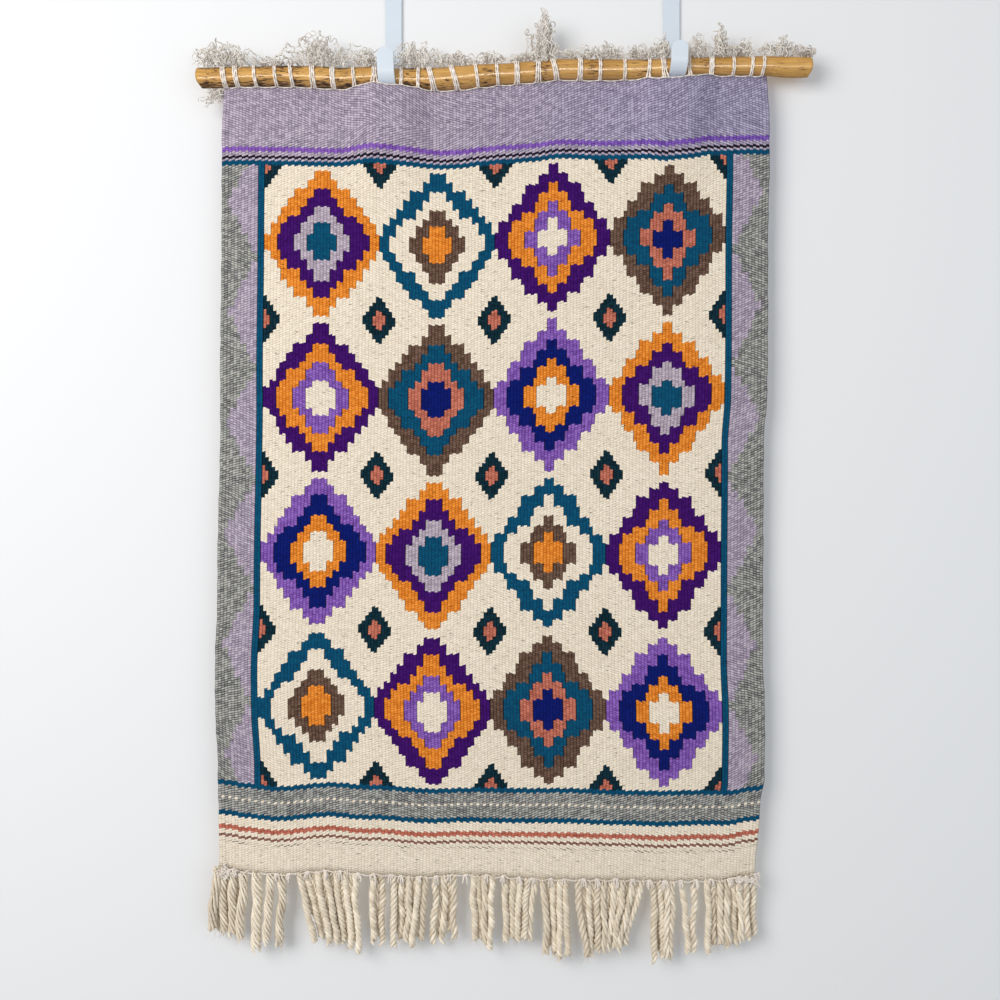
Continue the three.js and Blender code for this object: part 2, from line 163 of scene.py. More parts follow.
def mesh_piece(
    name: str, points: Array, faces: Iterable[Sequence[int]], smooth: bool = True
) -> bpy.types.Object:
    """Make an object from points in millimetres.

    Args:
        name: the piece's name.
        points: one row of X, Y and Z for each point.
        faces: corner numbers, counterclockwise as seen from outside.
        smooth: whether the faces are shaded as one rounded surface.

    Returns:
        The object, linked to the scene at the origin.
    """
    mesh = bpy.data.meshes.new(name)
    mesh.from_pydata((np.asarray(points) * MM).tolist(), [], [list(f) for f in faces])
    mesh.validate()
    mesh.polygons.foreach_set("use_smooth", [smooth] * len(mesh.polygons))
    piece = bpy.data.objects.new(name, mesh)
    bpy.context.scene.collection.objects.link(piece)
    return piece


def skin(rings: Sequence[Array]) -> list[list[int]]:
    """List the faces that close a row of rings with equal numbers of corners.

    Args:
        rings: the rings; their corners run clockwise as seen looking along the row.

    Returns:
        Four-cornered walls and the two many-cornered ends.
    """
    corners = len(rings[0])
    faces = []
    for r in range(len(rings) - 1):
        for c in range(corners):
            near, beside = r * corners + c, r * corners + (c + 1) % corners
            faces.append([near, beside, beside + corners, near + corners])
    last = (len(rings) - 1) * corners
    faces.append(list(range(corners))[::-1])
    faces.append(list(range(last, last + corners)))
    return faces


def finished(
    piece: bpy.types.Object, slot: str, stands_for: Sequence[str], rides: str = ROOT
) -> bpy.types.Object:
    """Put a finished piece on its body and hide the frame's nodes that it stands for.

    Args:
        piece: the object, in its place.
        slot: not used.
        stands_for: the frame's nodes that it stands for.
        rides: the body that it moves with.

    Returns:
        The same object.
    """
    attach(piece, rides)
    if stands_for:
        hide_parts(*stands_for)
    LOG.info("%s: %d faces, for %s", piece.name, len(piece.data.polygons), stands_for)
    return piece


# ---------------------------------------------------------------- numbers in a node tree

Term = Union["Signal", float]


@dataclass(frozen=True)
class Signal:
    """A number that flows through a node tree, with ordinary arithmetic."""

    tree: bpy.types.NodeTree
    socket: bpy.types.NodeSocket

    def through(self, operation: str, *terms: Term) -> "Signal":
        """Put this number through a Math node.

        Args:
            operation: the Math node's operation.
            terms: the node's other inputs.

        Returns:
            The node's result.
        """
        inputs = dict(enumerate([self, *terms]))
        node = add_node(self.tree, "ShaderNodeMath", {"operation": operation}, inputs)
        return Signal(self.tree, node.outputs[0])

    def __add__(self, other: Term) -> "Signal":
        """Sum."""
        return self.through("ADD", other)

    def __sub__(self, other: Term) -> "Signal":
        """Difference."""
        return self.through("SUBTRACT", other)

    def __mul__(self, other: Term) -> "Signal":
        """Product."""
        return self.through("MULTIPLY", other)

    def __truediv__(self, other: Term) -> "Signal":
        """Quotient."""
        return self.through("DIVIDE", other)

    def __abs__(self) -> "Signal":
        """Size without its sign."""
        return self.through("ABSOLUTE")

    def floor(self) -> "Signal":
        """Whole part."""
        return self.through("FLOOR")

    def within(self, low: float, high: float) -> "Signal":
        """1 where this number is above low and below high, and 0 elsewhere."""
        return self.through("GREATER_THAN", low) * self.through("LESS_THAN", high)

    def stairs(self, step: float) -> "Signal":
        """This number brought down to a multiple of step."""
        return (self / step).floor() * step

    def eased(self, low: float, high: float) -> "Signal":
        """0 below low and 1 above high, and smooth in between."""
        node = add_node(
            self.tree,
            "ShaderNodeMapRange",
            {"interpolation_type": "SMOOTHSTEP"},
            {"Value": self, "From Min": low, "From Max": high},
        )
        return Signal(self.tree, node.outputs[0])


def start_material(
    name: str,
) -> tuple[bpy.types.Material, bpy.types.NodeTree, bpy.types.Node]:
    """Start a material.

    Args:
        name: the material's name.

    Returns:
        The material, its node tree and its shader.
    """
    material = bpy.data.materials.new(name)
    material.use_nodes = True
    return material, material.node_tree, material.node_tree.nodes["Principled BSDF"]


def dress_shader(
    shader: bpy.types.Node,
    tree: bpy.types.NodeTree,
    colour: bpy.types.NodeSocket,
    relief: tuple[Any, float, float],
    levels: dict[str, float],
) -> None:
    """Give a shader its colour, its fine relief and its plain levels.

    Args:
        shader: the material's shader.
        tree: the material's tree.
        colour: the colour's socket.
        relief: the height, how strongly it shades, and its depth in millimetres.
        levels: the shader's plain inputs by name.
    """
    height, strength, depth = relief
    bump = add_node(
        tree,
        "ShaderNodeBump",
        {},
        {"Strength": strength, "Distance": depth * MM, "Height": height},
    )
    tree.links.new(colour, shader.inputs["Base Color"])
    tree.links.new(bump.outputs[0], shader.inputs["Normal"])
    for name, level in levels.items():
        shader.inputs[name].default_value = level


def chosen(mask: Signal, there: Term, elsewhere: Signal) -> Signal:
    """Mix two numbers by a mask.

    Args:
        mask: 1 for the first number and 0 for the second.
        there: the first number.
        elsewhere: the second number.

    Returns:
        The number that the mask picks.
    """
    return elsewhere + (elsewhere * -1 + there) * mask


def looked_up(
    number: Signal, colours: Sequence[tuple[float, float, float, float]]
) -> bpy.types.NodeSocket:
    """Pick one of a row of colours by its number.

    Args:
        number: 0 for the first colour, 1 for the next.
        colours: up to 32 colours in linear light.

    Returns:
        The colour's socket.
    """
    place = (number + 0.5) / len(colours)
    ramp = add_node(number.tree, "ShaderNodeValToRGB", {}, {"Fac": place})
    ramp.color_ramp.interpolation = "CONSTANT"
    stops = ramp.color_ramp.elements
    while len(stops) < len(colours):
        stops.new(1.0)
    for i, colour in enumerate(colours):
        stops[i].position = i / len(colours)
        stops[i].color = colour
    return ramp.outputs["Color"]


# ---------------------------------------------------------------- yarns and their chart


class Yarn(Enum):
    """The weaver's yarns: a lighter and a darker fleece each; the darker also paints groove shade.
    """

    CREAM = ("#f2e6d3", "#d8cab6")
    LAVENDER = ("#c5b8c7", "#756a7f")
    GREY = ("#b9b8b1", "#3a3b43")
    ROSE = ("#97665c", "#64402f")
    CORAL = ("#cf7c67", "#92493a")
    BROWN = ("#755c4f", "#3b261b")
    PURPLE = ("#43116b", "#2c0050")
    VIOLET = ("#936ac0", "#5a3186")
    ORANGE = ("#f3963a", "#bb600f")
    TEAL = ("#035272", "#003a59")
    NAVY = ("#041b6e", "#000c54")
    LILAC = ("#c4b7c4", "#8a7d8a")
    SPRUCE = ("#0d3341", "#00171f")
    BLACK = ("#1b1626", "#050209")

    @property
    def number(self) -> int:
        """This yarn's place in the list of yarns."""
        return list(Yarn).index(self)


# One letter for each yarn, as a weaver's chart has it.
C, L, G, R, K, B, P, V, O, T, N, I, S, X = Yarn

# Each kind of medallion: its four rings of yarn, from the rim to the heart.
MEDALLIONS = (
    (O, P, I, T),
    (T, C, B, O),
    (P, O, V, C),
    (B, T, K, N),
    (V, N, O, C),
)


@dataclass(frozen=True)
class Chart:
    """The weaver's chart: a yarn for each crossing of a rib and a row of weft.

    It has a plain head, a toothed border down each side, stepped medallions set in a
    lattice on a cream field, and a striped foot.
    """

    ribs: int = 166
    rows: int = 340
    # The side border in ribs, and the rows where the field starts and ends.
    border: float = 13.0
    head: float = 34.0
    foot: float = 302.0
    # Ribs and rows from one medallion to the next.
    column: float = 35.0
    tier: float = 67.0
    # How far out a medallion's rim and its inner rings reach, as shares of half a step.
    rim: float = 0.94
    rings: tuple[float, ...] = (0.7, 0.45, 0.2)
    # Half the ribs and half the rows of a small lozenge, and its heart's share of them.
    lozenge: tuple[float, float] = (4.5, 9.0)
    heart: float = 0.4
    # The border's teeth: rows from valley to tip, ribs that a row adds, ribs at a valley.
    teeth: tuple[float, float, float] = (24.0, 0.375, 1.5)
    # The stripes of the head and the foot: where they start and end, and their yarn.
    stripes: tuple[tuple[float, float, Yarn], ...] = (
        (25.5, 27.5, V), (29.5, 30.5, X), (31.5, 33.5, T), (301.5, 303.5, T),
        (303.5, 314.5, G), (314.5, 316.5, T), (320.5, 322.5, K), (324.5, 325.5, R),
    )
    # The row whose single picks show on every other rib.
    picked_row: float = 309.0

    def group(self) -> bpy.types.NodeTree:
        """Make the chart as a node group.

        Returns:
            A group that turns a rib and a row into a yarn's number, with the single picks
            of loose weft and without them.
        """
        tree = bpy.data.node_groups.new("weaving_chart", "ShaderNodeTree")
        for name in ("Rib", "Row"):
            tree.interface.new_socket(name, in_out="INPUT", socket_type="NodeSocketFloat")
        for name in ("Yarn", "Ground"):
            tree.interface.new_socket(name, in_out="OUTPUT", socket_type="NodeSocketFloat")
        entry = add_node(tree, "NodeGroupInput", {}, {})
        rib, row = (Signal(tree, entry.outputs[n]) for n in ("Rib", "Row"))
        ground = rib * 0 + C.number
        for mask, there in (*self._field(rib, row), *self._frame(rib, row)):
            ground = chosen(mask, there, ground)
        yarn = ground
        for mask, there in self._picks(rib, row):
            yarn = chosen(mask, there, yarn)
        add_node(tree, "NodeGroupOutput", {}, {"Yarn": yarn, "Ground": ground})
        return tree

    def _field(self, rib: Signal, row: Signal) -> list[tuple[Signal, Term]]:
        """Chart the stepped medallions, with a small lozenge where four of them meet.

        Args:
            rib: the rib's number from the left.
            row: the weft's number from the top.

        Returns:
            Masks with their yarns, each laid over those before it.
        """
        x = (rib - self.border + 0.5) / self.column
        y = (row - self.head + 0.5) / self.tier
        column, tier = x.floor(), y.floor()
        off = abs(x - column - 0.5) * self.column
        far = abs(y - tier - 0.5) * self.tier
        ring = off.stairs(2) / (self.column / 2) + far.stairs(4) / (self.tier / 2)
        depth = ring * 0
        for reach in self.rings:
            depth = depth + ring.through("LESS_THAN", reach)
        kind = (column + tier * 2).through("FLOORED_MODULO", len(MEDALLIONS))
        medallion = self._picked(kind * 4 + depth, [y for rings in MEDALLIONS for y in rings])
        between = (off * -1 + self.column / 2).stairs(1) / self.lozenge[0]
        between = between + (far * -1 + self.tier / 2).stairs(2) / self.lozenge[1]
        return [
            (ring.within(-1, self.rim), medallion),
            (between.within(-1, 1), S.number),
            (between.within(-1, self.heart), K.number),
        ]

    def _frame(self, rib: Signal, row: Signal) -> list[tuple[Signal, Term]]:
        """Chart the head, the foot and the toothed borders that frame the field.

        Args:
            rib: the rib's number from the left.
            row: the weft's number from the top.

        Returns:
            Masks with their yarns, each laid over those before it.
        """
        middle = (self.ribs - 1) / 2
        inward = abs(rib - middle) * -1 + middle
        reach, rise, valley = self.teeth
        tooth = row.stairs(4).through("PINGPONG", reach) * rise + valley
        edge = self.border - 0.5
        layers: list[tuple[Signal, Term]] = [
            (inward.within(-1, edge), L.number),
            ((tooth - inward).within(0, self.border), G.number),
            (inward.within(edge - 2, edge), T.number),
            (row.within(-9, self.head - 0.5), L.number),
            (row.within(self.foot - 0.5, 2 * self.rows), C.number),
        ]
        for low, high, yarn in self.stripes:
            layers.append((row.within(low, high), yarn.number))
        return layers

    def _picks(self, rib: Signal, row: Signal) -> list[tuple[Signal, Term]]:
        """Chart the single picks that show on every other rib.

        Args:
            rib: the rib's number from the left.
            row: the weft's number from the top.

        Returns:
            Masks with their yarns.
        """
        odd = rib.through("FLOORED_MODULO", 2)
        shows = row.within(self.picked_row - 0.5, self.picked_row + 0.5) * odd
        return [(shows, C.number)]

    @staticmethod
    def _picked(number: Signal, yarns: Sequence[Yarn]) -> Signal:
        """Look a yarn's number up in a list.

        Args:
            number: the place in the list.
            yarns: the list.

        Returns:
            The yarn's number.
        """
        shades = [((y.number + 0.25) / 16,) * 3 + (1.0,) for y in yarns]
        return (Signal(number.tree, looked_up(number, shades)) * 16).floor()


# ---------------------------------------------------------------- finishes


@dataclass(frozen=True)
class WovenWool:
    """Weft-faced plain weave of hand-spun wool singles, beaten hard over cotton warps.

    The warps are covered, so the eye sees upright ribs 3.6 mm apart, and on each rib the
    weft's small beads, which stand half a row higher on every other rib. Where two yarns
    meet along a warp the weaver left a slit, and where they meet along a row the join is
    toothed. The fleece is mottled, matt and faintly hairy.
    """

    chart: Chart
    rib_depth: float = 0.4
    roughness: float = 0.93
    specular: float = 0.1
    sheen: float = 0.03
    # The bluish tint of the painted cool light on the head's right side.
    cool_light_tint: str = "#eaf1ff"
    # Painted shade between two ribs and between two beads, towards the darker fleece:
    # on undyed wool, and what dyed wool adds.
    rib_groove_shade: tuple[float, float] = (0.28, 0.18)
    bead_groove_shade: tuple[float, float] = (0.63, -0.25)
    slit_shade: float = 0.8
    nep_shade: float = 0.6
    # The row along which a stray dark pick shows, and how dark it is.
    stray_row: float = 328.0
    stray_shade: float = 0.72

    def material(self) -> bpy.types.Material:
        """Build the material, which reads the cloth's own UV map.

        Returns:
            The material.
        """
        material, tree, shader = start_material("woven_wool")
        uv = add_node(tree, "ShaderNodeUVMap", {"uv_map": "weave"}, {})
        split = add_node(tree, "ShaderNodeSeparateXYZ", {}, {0: uv.outputs[0]})
        across = Signal(tree, split.outputs[0]) * self.chart.ribs
        down = Signal(tree, split.outputs[1]) * self.chart.rows
        down = down + self._beat(across, down)
        rib = across.floor()
        side = across - rib
        odd = rib.through("FLOORED_MODULO", 2)
        group = self.chart.group()
        _, plain = self._yarn(group, rib, down.floor())
        bold = plain.through("GREATER_THAN", G.number + 0.5)
        lean = self._slant(across, down) * (bold * -0.65 + 1)
        offset = down + odd * 0.5 + (side - 0.5) * lean
        row = offset.floor()
        bead = offset - row
        here, ground = self._yarn(group, rib, row)
        beside = rib + side.through("GREATER_THAN", 0.5) * 2 - 1
        beside = beside.through("MAXIMUM", 0).through("MINIMUM", self.chart.ribs - 1)
        _, there = self._yarn(group, beside, row)
        edge = abs(side - 0.5)
        slit = abs(ground - there).through("GREATER_THAN", 0.5) * edge.eased(0.22, 0.5)

        round_rib, round_bead = edge.eased(0.24, 0.5), abs(bead - 0.5).eased(0.1, 0.5)
        grain = self._grain(rib, row, across, down)
        # Painted shade: the grooves between ribs and between beads lean towards the darker fleece.
        for groove_shade, (undyed, dyed) in (
            (round_rib, self.rib_groove_shade), (round_bead, self.bead_groove_shade)
        ):
            grain = grain + groove_shade * (bold * dyed + undyed)
        grain = grain - 0.22
        grain = grain.through("MAXIMUM", 0).through("MINIMUM", 1)
        light, dark = (
            looked_up(here, [linear(y.value[n]) for y in Yarn]) for n in (0, 1)
        )
        fleece = add_node(
            tree,
            "ShaderNodeMix",
            {"data_type": "RGBA"},
            {"Factor": grain, 6: light, 7: dark},
        )
        # Painted cool light: the head turns bluer towards the right, where the light falls cooler.
        cool_light_share = across.eased(45, 160) * (down.eased(24, self.chart.head) * -1 + 1)
        tinted = add_node(
            tree,
            "ShaderNodeMix",
            {"data_type": "RGBA", "blend_type": "MULTIPLY"},
            {"Factor": cool_light_share, 6: fleece.outputs[2], 7: linear(self.cool_light_tint)},
        )
        # Painted shade that darkens the grooves between ribs and between beads.
        groove_shade = round_rib * 0.1 + round_bead * 0.08
        neps = self._neps(across, down) * self.nep_shade
        pick = abs(offset - self.stray_row).eased(0.12, 0.42) * -1 + 1
        pick = pick * (edge.eased(0.3, 0.46) * -1 + 1) * self._worn(rib) * self.stray_shade
        # Painted shade: a dark line in the groove two ribs in from each selvedge, beside its cord.
        cord_groove_shade = abs(abs(across - self.chart.ribs / 2) - (self.chart.ribs / 2 - 2))
        cord_groove_shade = (cord_groove_shade.eased(0.1, 0.45) * -1 + 1) * 0.08
        # Painted shade in the grooves, the slits and beside the selvedge cords, with the real dark
        # neps and the stray pick.
        shade = (groove_shade + neps + pick + cord_groove_shade) * -1 + 1 - slit * bold * self.slit_shade
        lit = add_node(
            tree,
            "ShaderNodeMix",
            {"data_type": "RGBA", "blend_type": "MULTIPLY"},
            {"Factor": 1.0, 6: tinted.outputs[2], 7: shade},
        )
        hair = add_node(tree, "ShaderNodeTexNoise", {}, {"Scale": 1500.0, "Detail": 3.0})
        height = edge * edge * (bold * -0.9 - 1.1) - (bead - 0.5) * (bead - 0.5) * 1.9
        height = height + Signal(tree, hair.outputs[0]) * 0.5
        levels = {
            "Roughness": self.roughness,
            "Specular IOR Level": self.specular,
            "Sheen Weight": self.sheen,
        }
        dress_shader(shader, tree, lit.outputs[2], (height, 0.9, self.rib_depth), levels)
        return material

    @staticmethod
    def _wander(across: Signal, down: Term, detail: float) -> Signal:
        """Read smooth noise at a place on the weave.

        Args:
            across: the place across, drawn out as the noise needs.
            down: the place down, drawn out likewise.
            detail: how many finer layers the noise has.

        Returns:
            The noise, most of it near 0.5.
        """
        tree = across.tree
        place = add_node(tree, "ShaderNodeCombineXYZ", {}, {0: across, 1: down})
        noise = add_node(
            tree, "ShaderNodeTexNoise", {}, {"Vector": place.outputs[0], "Detail": detail}
        )
        return Signal(tree, noise.outputs[0])

    def _slant(self, across: Signal, down: Signal) -> Signal:
        """Lean the beads one way or the other, as the twist of each bobbin's yarn does.

        Args:
            across: the place across, in ribs.
            down: the place down, in rows.

        Returns:
            How far a bead climbs across one rib, in rows.
        """
        return self._wander(across.floor() / 420, down / 170, 0.0).eased(0.36, 0.54) - 0.5

    def _worn(self, rib: Signal) -> Signal:
        """Let a line of stray dark weft show in some places and sink in others.

        Args:
            rib: the rib's number.

        Returns:
            Low where it sinks and 1 where it shows.
        """
        return self._wander(rib / 42, 3.0, 2.0).eased(0.48, 0.56) * 0.7 + 0.3

    def _beat(self, across: Signal, down: Signal) -> Signal:
        """Make the rows wander, as a hand-held beater leaves them.

        Args:
            across: the place across, in ribs.
            down: the place down, in rows.

        Returns:
            How far a row is pushed, in rows.
        """
        return (self._wander(across.floor() / 150, down / 400, 1.0) - 0.5) * 3

    @staticmethod
    def _yarn(
        group: bpy.types.NodeTree, rib: Signal, row: Signal
    ) -> tuple[Signal, Signal]:
        """Read the chart.

        Args:
            group: the chart's node group.
            rib: the rib's number.
            row: the row's number.

        Returns:
            The yarn's number at that crossing, with the loose picks and without.
        """
        node = add_node(
            rib.tree, "ShaderNodeGroup", {"node_tree": group}, {"Rib": rib, "Row": row}
        )
        yarn, ground = ((Signal(rib.tree, socket) + 0.5).floor() for socket in node.outputs)
        return yarn, ground

    def _grain(self, rib: Signal, row: Signal, across: Signal, down: Signal) -> Signal:
        """Mottle the fleece, bead by bead and along each pass of weft.

        Args:
            rib: the rib's number.
            row: the row's number.
            across: the place across, in ribs.
            down: the place down, in rows.

        Returns:
            0 for the lighter fleece and 1 for the darker.
        """
        cell = add_node(rib.tree, "ShaderNodeCombineXYZ", {}, {0: rib, 1: row})
        speck = add_node(
            rib.tree, "ShaderNodeTexWhiteNoise", {"noise_dimensions": "2D"}, {0: cell.outputs[0]}
        )
        grain = Signal(rib.tree, speck.outputs[0]) * 0.55
        grain = grain + (self._wander(across / 14, down * 0.45, 3.0) - 0.5) * 0.4
        return grain + (self._wander(across / 22, down / 30, 2.0) - 0.5) * 0.2 + 0.17

    def _neps(self, across: Signal, down: Signal) -> Signal:
        """Scatter the few dark neps that were spun into the yarn.

        Args:
            across: the place across, in ribs.
            down: the place down, in rows.

        Returns:
            1 on a nep and 0 elsewhere.
        """
        return self._wander(across * 0.1, down * 0.45, 1.0).eased(0.66, 0.7)


@dataclass(frozen=True)
class SpunYarn:
    """Undyed wool or cotton, spun and plied: matt, with each strand a shade of its own."""

    name: str
    light: str
    dark: str
    roughness: float
    sheen: float
    # How far one fibre's shade runs along a strand, in millimetres.
    fibre: float

    def material(self) -> bpy.types.Material:
        """Build the material, which reads the strands' own attributes.

        Returns:
            The material.
        """
        material, tree, shader = start_material(self.name)
        strand, along, around = (
            Signal(
                tree,
                add_node(
                    tree, "ShaderNodeAttribute", {"attribute_name": name}, {}
                ).outputs["Fac"],
            )
            for name in ("strand", "along", "around")
        )
        run, turn = along / (self.fibre * MM), around * 9
        lay = add_node(tree, "ShaderNodeCombineXYZ", {}, {0: run * 0.12, 1: turn + run * 0.4})
        fibres = add_node(
            tree, "ShaderNodeTexNoise", {}, {"Vector": lay.outputs[0], "Scale": 1.0}
        )
        place = add_node(tree, "ShaderNodeTexCoord", {}, {})
        cloud = add_node(
            tree,
            "ShaderNodeTexNoise",
            {},
            {"Vector": place.outputs["Object"], "Scale": 90.0, "Detail": 2.0},
        )
        grain = strand * 0.36 + Signal(tree, fibres.outputs[0]) * 0.7
        grain = (grain + Signal(tree, cloud.outputs[0]) * 0.5 - 0.28).eased(0, 1)
        fleece = add_node(
            tree,
            "ShaderNodeMix",
            {"data_type": "RGBA"},
            {"Factor": grain, 6: linear(self.light), 7: linear(self.dark)},
        )
        levels = {
            "Roughness": self.roughness,
            "Specular IOR Level": 0.25,
            "Sheen Weight": self.sheen,
        }
        dress_shader(shader, tree, fleece.outputs[2], (fibres.outputs[0], 0.6, 0.4), levels)
        return material


@dataclass(frozen=True)
class VarnishedStick:
    """A peeled branch under amber varnish: long grain, scorched flecks, a wet gloss."""

    pale: str = "#d8a75c"
    deep: str = "#ae7f38"
    singe: str = "#7c4a1e"
    scorch: str = "#25120a"
    # Where the bark was scorched: the middle of each mark, and how dark it is.
    scorches: tuple[Row, ...] = (
        (-318, 0.6), (-296, 0.55), (-262, 0.45), (-240, 0.75), (-226, 0.95), (-196, 0.55),
        (-175, 0.6), (-158, 0.35), (-104, 1.0), (-86, 0.6), (-60, 0.3), (-16, 0.7),
        (40, 1.0), (60, 0.3), (96, 0.4), (150, 0.85), (222, 0.6), (296, 0.35), (322, 0.6),
    )

    def material(self) -> bpy.types.Material:
        """Build the material in the stick's Object coordinates.

        Returns:
            The material.
        """
        material, tree, shader = start_material("varnished_branch")
        place = add_node(tree, "ShaderNodeTexCoord", {}, {}).outputs["Object"]
        noises = []
        for stretch, scale, detail in (
            ((6, 90, 90), 6.0, 4.0), ((42, 290, 290), 3.0, 4.0), ((14, 30, 30), 1.0, 2.0)
        ):
            lay = add_node(
                tree, "ShaderNodeMapping", {}, {"Vector": place, "Scale": stretch}
            )
            noise = add_node(
                tree,
                "ShaderNodeTexNoise",
                {},
                {"Vector": lay.outputs[0], "Scale": scale, "Detail": detail},
            )
            noises.append(Signal(tree, noise.outputs[0]))
        grain, fleck, cloud = noises
        split = add_node(tree, "ShaderNodeSeparateXYZ", {}, {0: place})
        along = Signal(tree, split.outputs[0]) / MM
        mark = along * 0
        for at, much in self.scorches:
            near = abs(along - at).eased(3, 15) * -1 + 1
            mark = mark.through("MAXIMUM", near * much)
        facing = add_node(tree, "ShaderNodeNewGeometry", {}, {}).outputs["Normal"]
        facing = add_node(tree, "ShaderNodeSeparateXYZ", {}, {0: facing}).outputs[2]
        rim = abs(Signal(tree, facing)).eased(0.45, 0.9) * (along.eased(-110, -30) * -1 + 1)
        charred = fleck + (cloud - 0.5) * 0.35 + mark * 0.18 + rim * 0.13
        charred = charred - along.eased(-60, 20) * 0.035
        scorched = charred.eased(0.68, 0.76)
        singed = charred.eased(0.59, 0.72)
        tone = (grain * 0.9 + cloud * 0.6 - 0.25).eased(0.2, 0.8)
        wood: Any = linear(self.pale)
        for share, tint in (
            (tone, self.deep), (singed * 0.6, self.singe), (scorched * 0.9, self.scorch)
        ):
            wood = add_node(
                tree,
                "ShaderNodeMix",
                {"data_type": "RGBA"},
                {"Factor": share, 6: wood, 7: linear(tint)},
            ).outputs[2]
        height = grain * 0.5 - scorched * 0.8
        levels = {"Roughness": 0.55, "Coat Roughness": 0.2}
        dress_shader(shader, tree, wood, (height, 0.5, 0.5), levels)
        # The varnish is burnt off the scorches and worn off the right end.
        varnish = (scorched * -0.85 + 1) * (along.eased(280, 300) * -0.8 + 1)
        tree.links.new(varnish.socket, shader.inputs["Coat Weight"])
        return material


@dataclass(frozen=True)
class PowderCoat:
    """White powder coat on strap steel: bluish white, half gloss, faint orange peel."""

    colour: str = "#cfd8e2"
    haze: str = "#c8d2dd"
    # How wide one dimple of the orange peel is, in millimetres.
    peel: float = 1.1

    def material(self) -> bpy.types.Material:
        """Build the material in the hook's Object coordinates.

        Returns:
            The material.
        """
        material, tree, shader = start_material("powder_coated_steel")
        place = add_node(tree, "ShaderNodeTexCoord", {}, {}).outputs["Object"]
        peel = add_node(
            tree,
            "ShaderNodeTexNoise",
            {},
            {"Vector": place, "Scale": 1000 / self.peel, "Detail": 1.0},
        )
        haze = add_node(tree, "ShaderNodeTexNoise", {}, {"Vector": place, "Scale": 40.0})
        tone = add_node(
            tree,
            "ShaderNodeMix",
            {"data_type": "RGBA"},
            {0: haze.outputs[0], 6: linear(self.colour), 7: linear(self.haze)},
        )
        levels = {"Roughness": 0.42, "Specular IOR Level": 0.3}
        dress_shader(shader, tree, tone.outputs[2], (peel.outputs[0], 0.15, 0.2), levels)
        return material


# ---------------------------------------------------------------- stick


@dataclass(frozen=True)
class Stick:
    """The crooked stick, with its knots and its slanting cut ends."""

    axis: tuple[Row, ...] = (
        (-334.5, -4.4, 21.8), (-277, -2.8, 20.8), (-225, -2.2, 22.2), (-200, -3.4, 22.8),
        (-179, -4.9, 22), (-148, -2.7, 20.6), (-108, -5.3, 22), (-70, -5.5, 24),
        (-48, -4, 25), (-26, -1.7, 24.4), (1, 0, 22.4), (28, 2.2, 22.4), (61, 5.1, 21.6),
        (105, 4.8, 22), (148, 5, 21), (203, 8.2, 19.4), (257, 8.7, 19.6),
        (285, 8.7, 20.4), (312, 7.6, 22), (334.7, 7.6, 21.2),
    )
    knots: tuple[float, ...] = (-225, -108, 40, 288)
    end_slant: float = 2.6
    sides: int = 48
    pitch: float = 2.2

    def height(self, x: Array) -> Array:
        """Height of the stick's axis at x."""
        return read_rows(self.axis, x, 1)

    def radius(self, x: Array) -> Array:
        """Radius of the stick at x."""
        return read_rows(self.axis, x, 2) / 2

    def at(self, x: float) -> tuple[float, float]:
        """Height of the stick's axis, and its radius, at one place."""
        return float(self.height(np.array(x))), float(self.radius(np.array(x)))

    def build(self, finish: VarnishedStick) -> bpy.types.Object:
        """Make the stick.

        Args:
            finish: the varnished wood.

        Returns:
            The finished piece.
        """
        start, end = self.axis[0][0], self.axis[-1][0]
        count = round((end - start) / self.pitch)
        turn = -np.arange(self.sides) * 2 * np.pi / self.sides
        # How far in from a cut end each rim stands, and how much smaller it is.
        rims = ((0, 2.6), (0.25, 1.1), (0.9, 0.35))
        stations = [(start + step, less) for step, less in rims]
        stations += [(x, 0) for x in np.linspace(start + 2.2, end - 2.2, count)]
        stations += [(end - step, less) for step, less in rims[::-1]]
        rings = []
        for x, less in stations:
            height, radius = self.at(x)
            radius = radius + self._grown(x, turn) - less
            near = ease_out(np.array((min(x - start, end - x)) / 7))
            cut = self.end_slant * math.copysign(near, -x) * np.clip(-np.sin(turn), 0, 1) ** 2.6
            rings.append(
                np.column_stack([
                    x + cut * (1.6 if x < 0 else 1),
                    radius * np.cos(turn),
                    height + radius * np.sin(turn),
                ])
            )
        piece = mesh_piece("stick", np.vstack(rings), skin(rings))
        for face in piece.data.polygons[-2:]:
            face.use_smooth = False
        piece.data.materials.append(finish.material())
        return finished(piece, "varnished_wood", ["rod"])

    def _grown(self, x: float, turn: Array) -> Array:
        """Swell the stick at its knots and leave it slightly out of round.

        Args:
            x: the place along the stick.
            turn: the angles round it.

        Returns:
            What is added to the radius at each angle.
        """
        grown = 0.1 * np.sin(3 * turn + x / 31) + 0.08 * np.sin(2 * turn - x / 17)
        for knot in self.knots:
            grown = grown + 0.45 * math.exp(-(((x - knot) / 5) ** 2)) * np.cos(turn + knot)
        return grown - 0.12


# ---------------------------------------------------------------- hooks


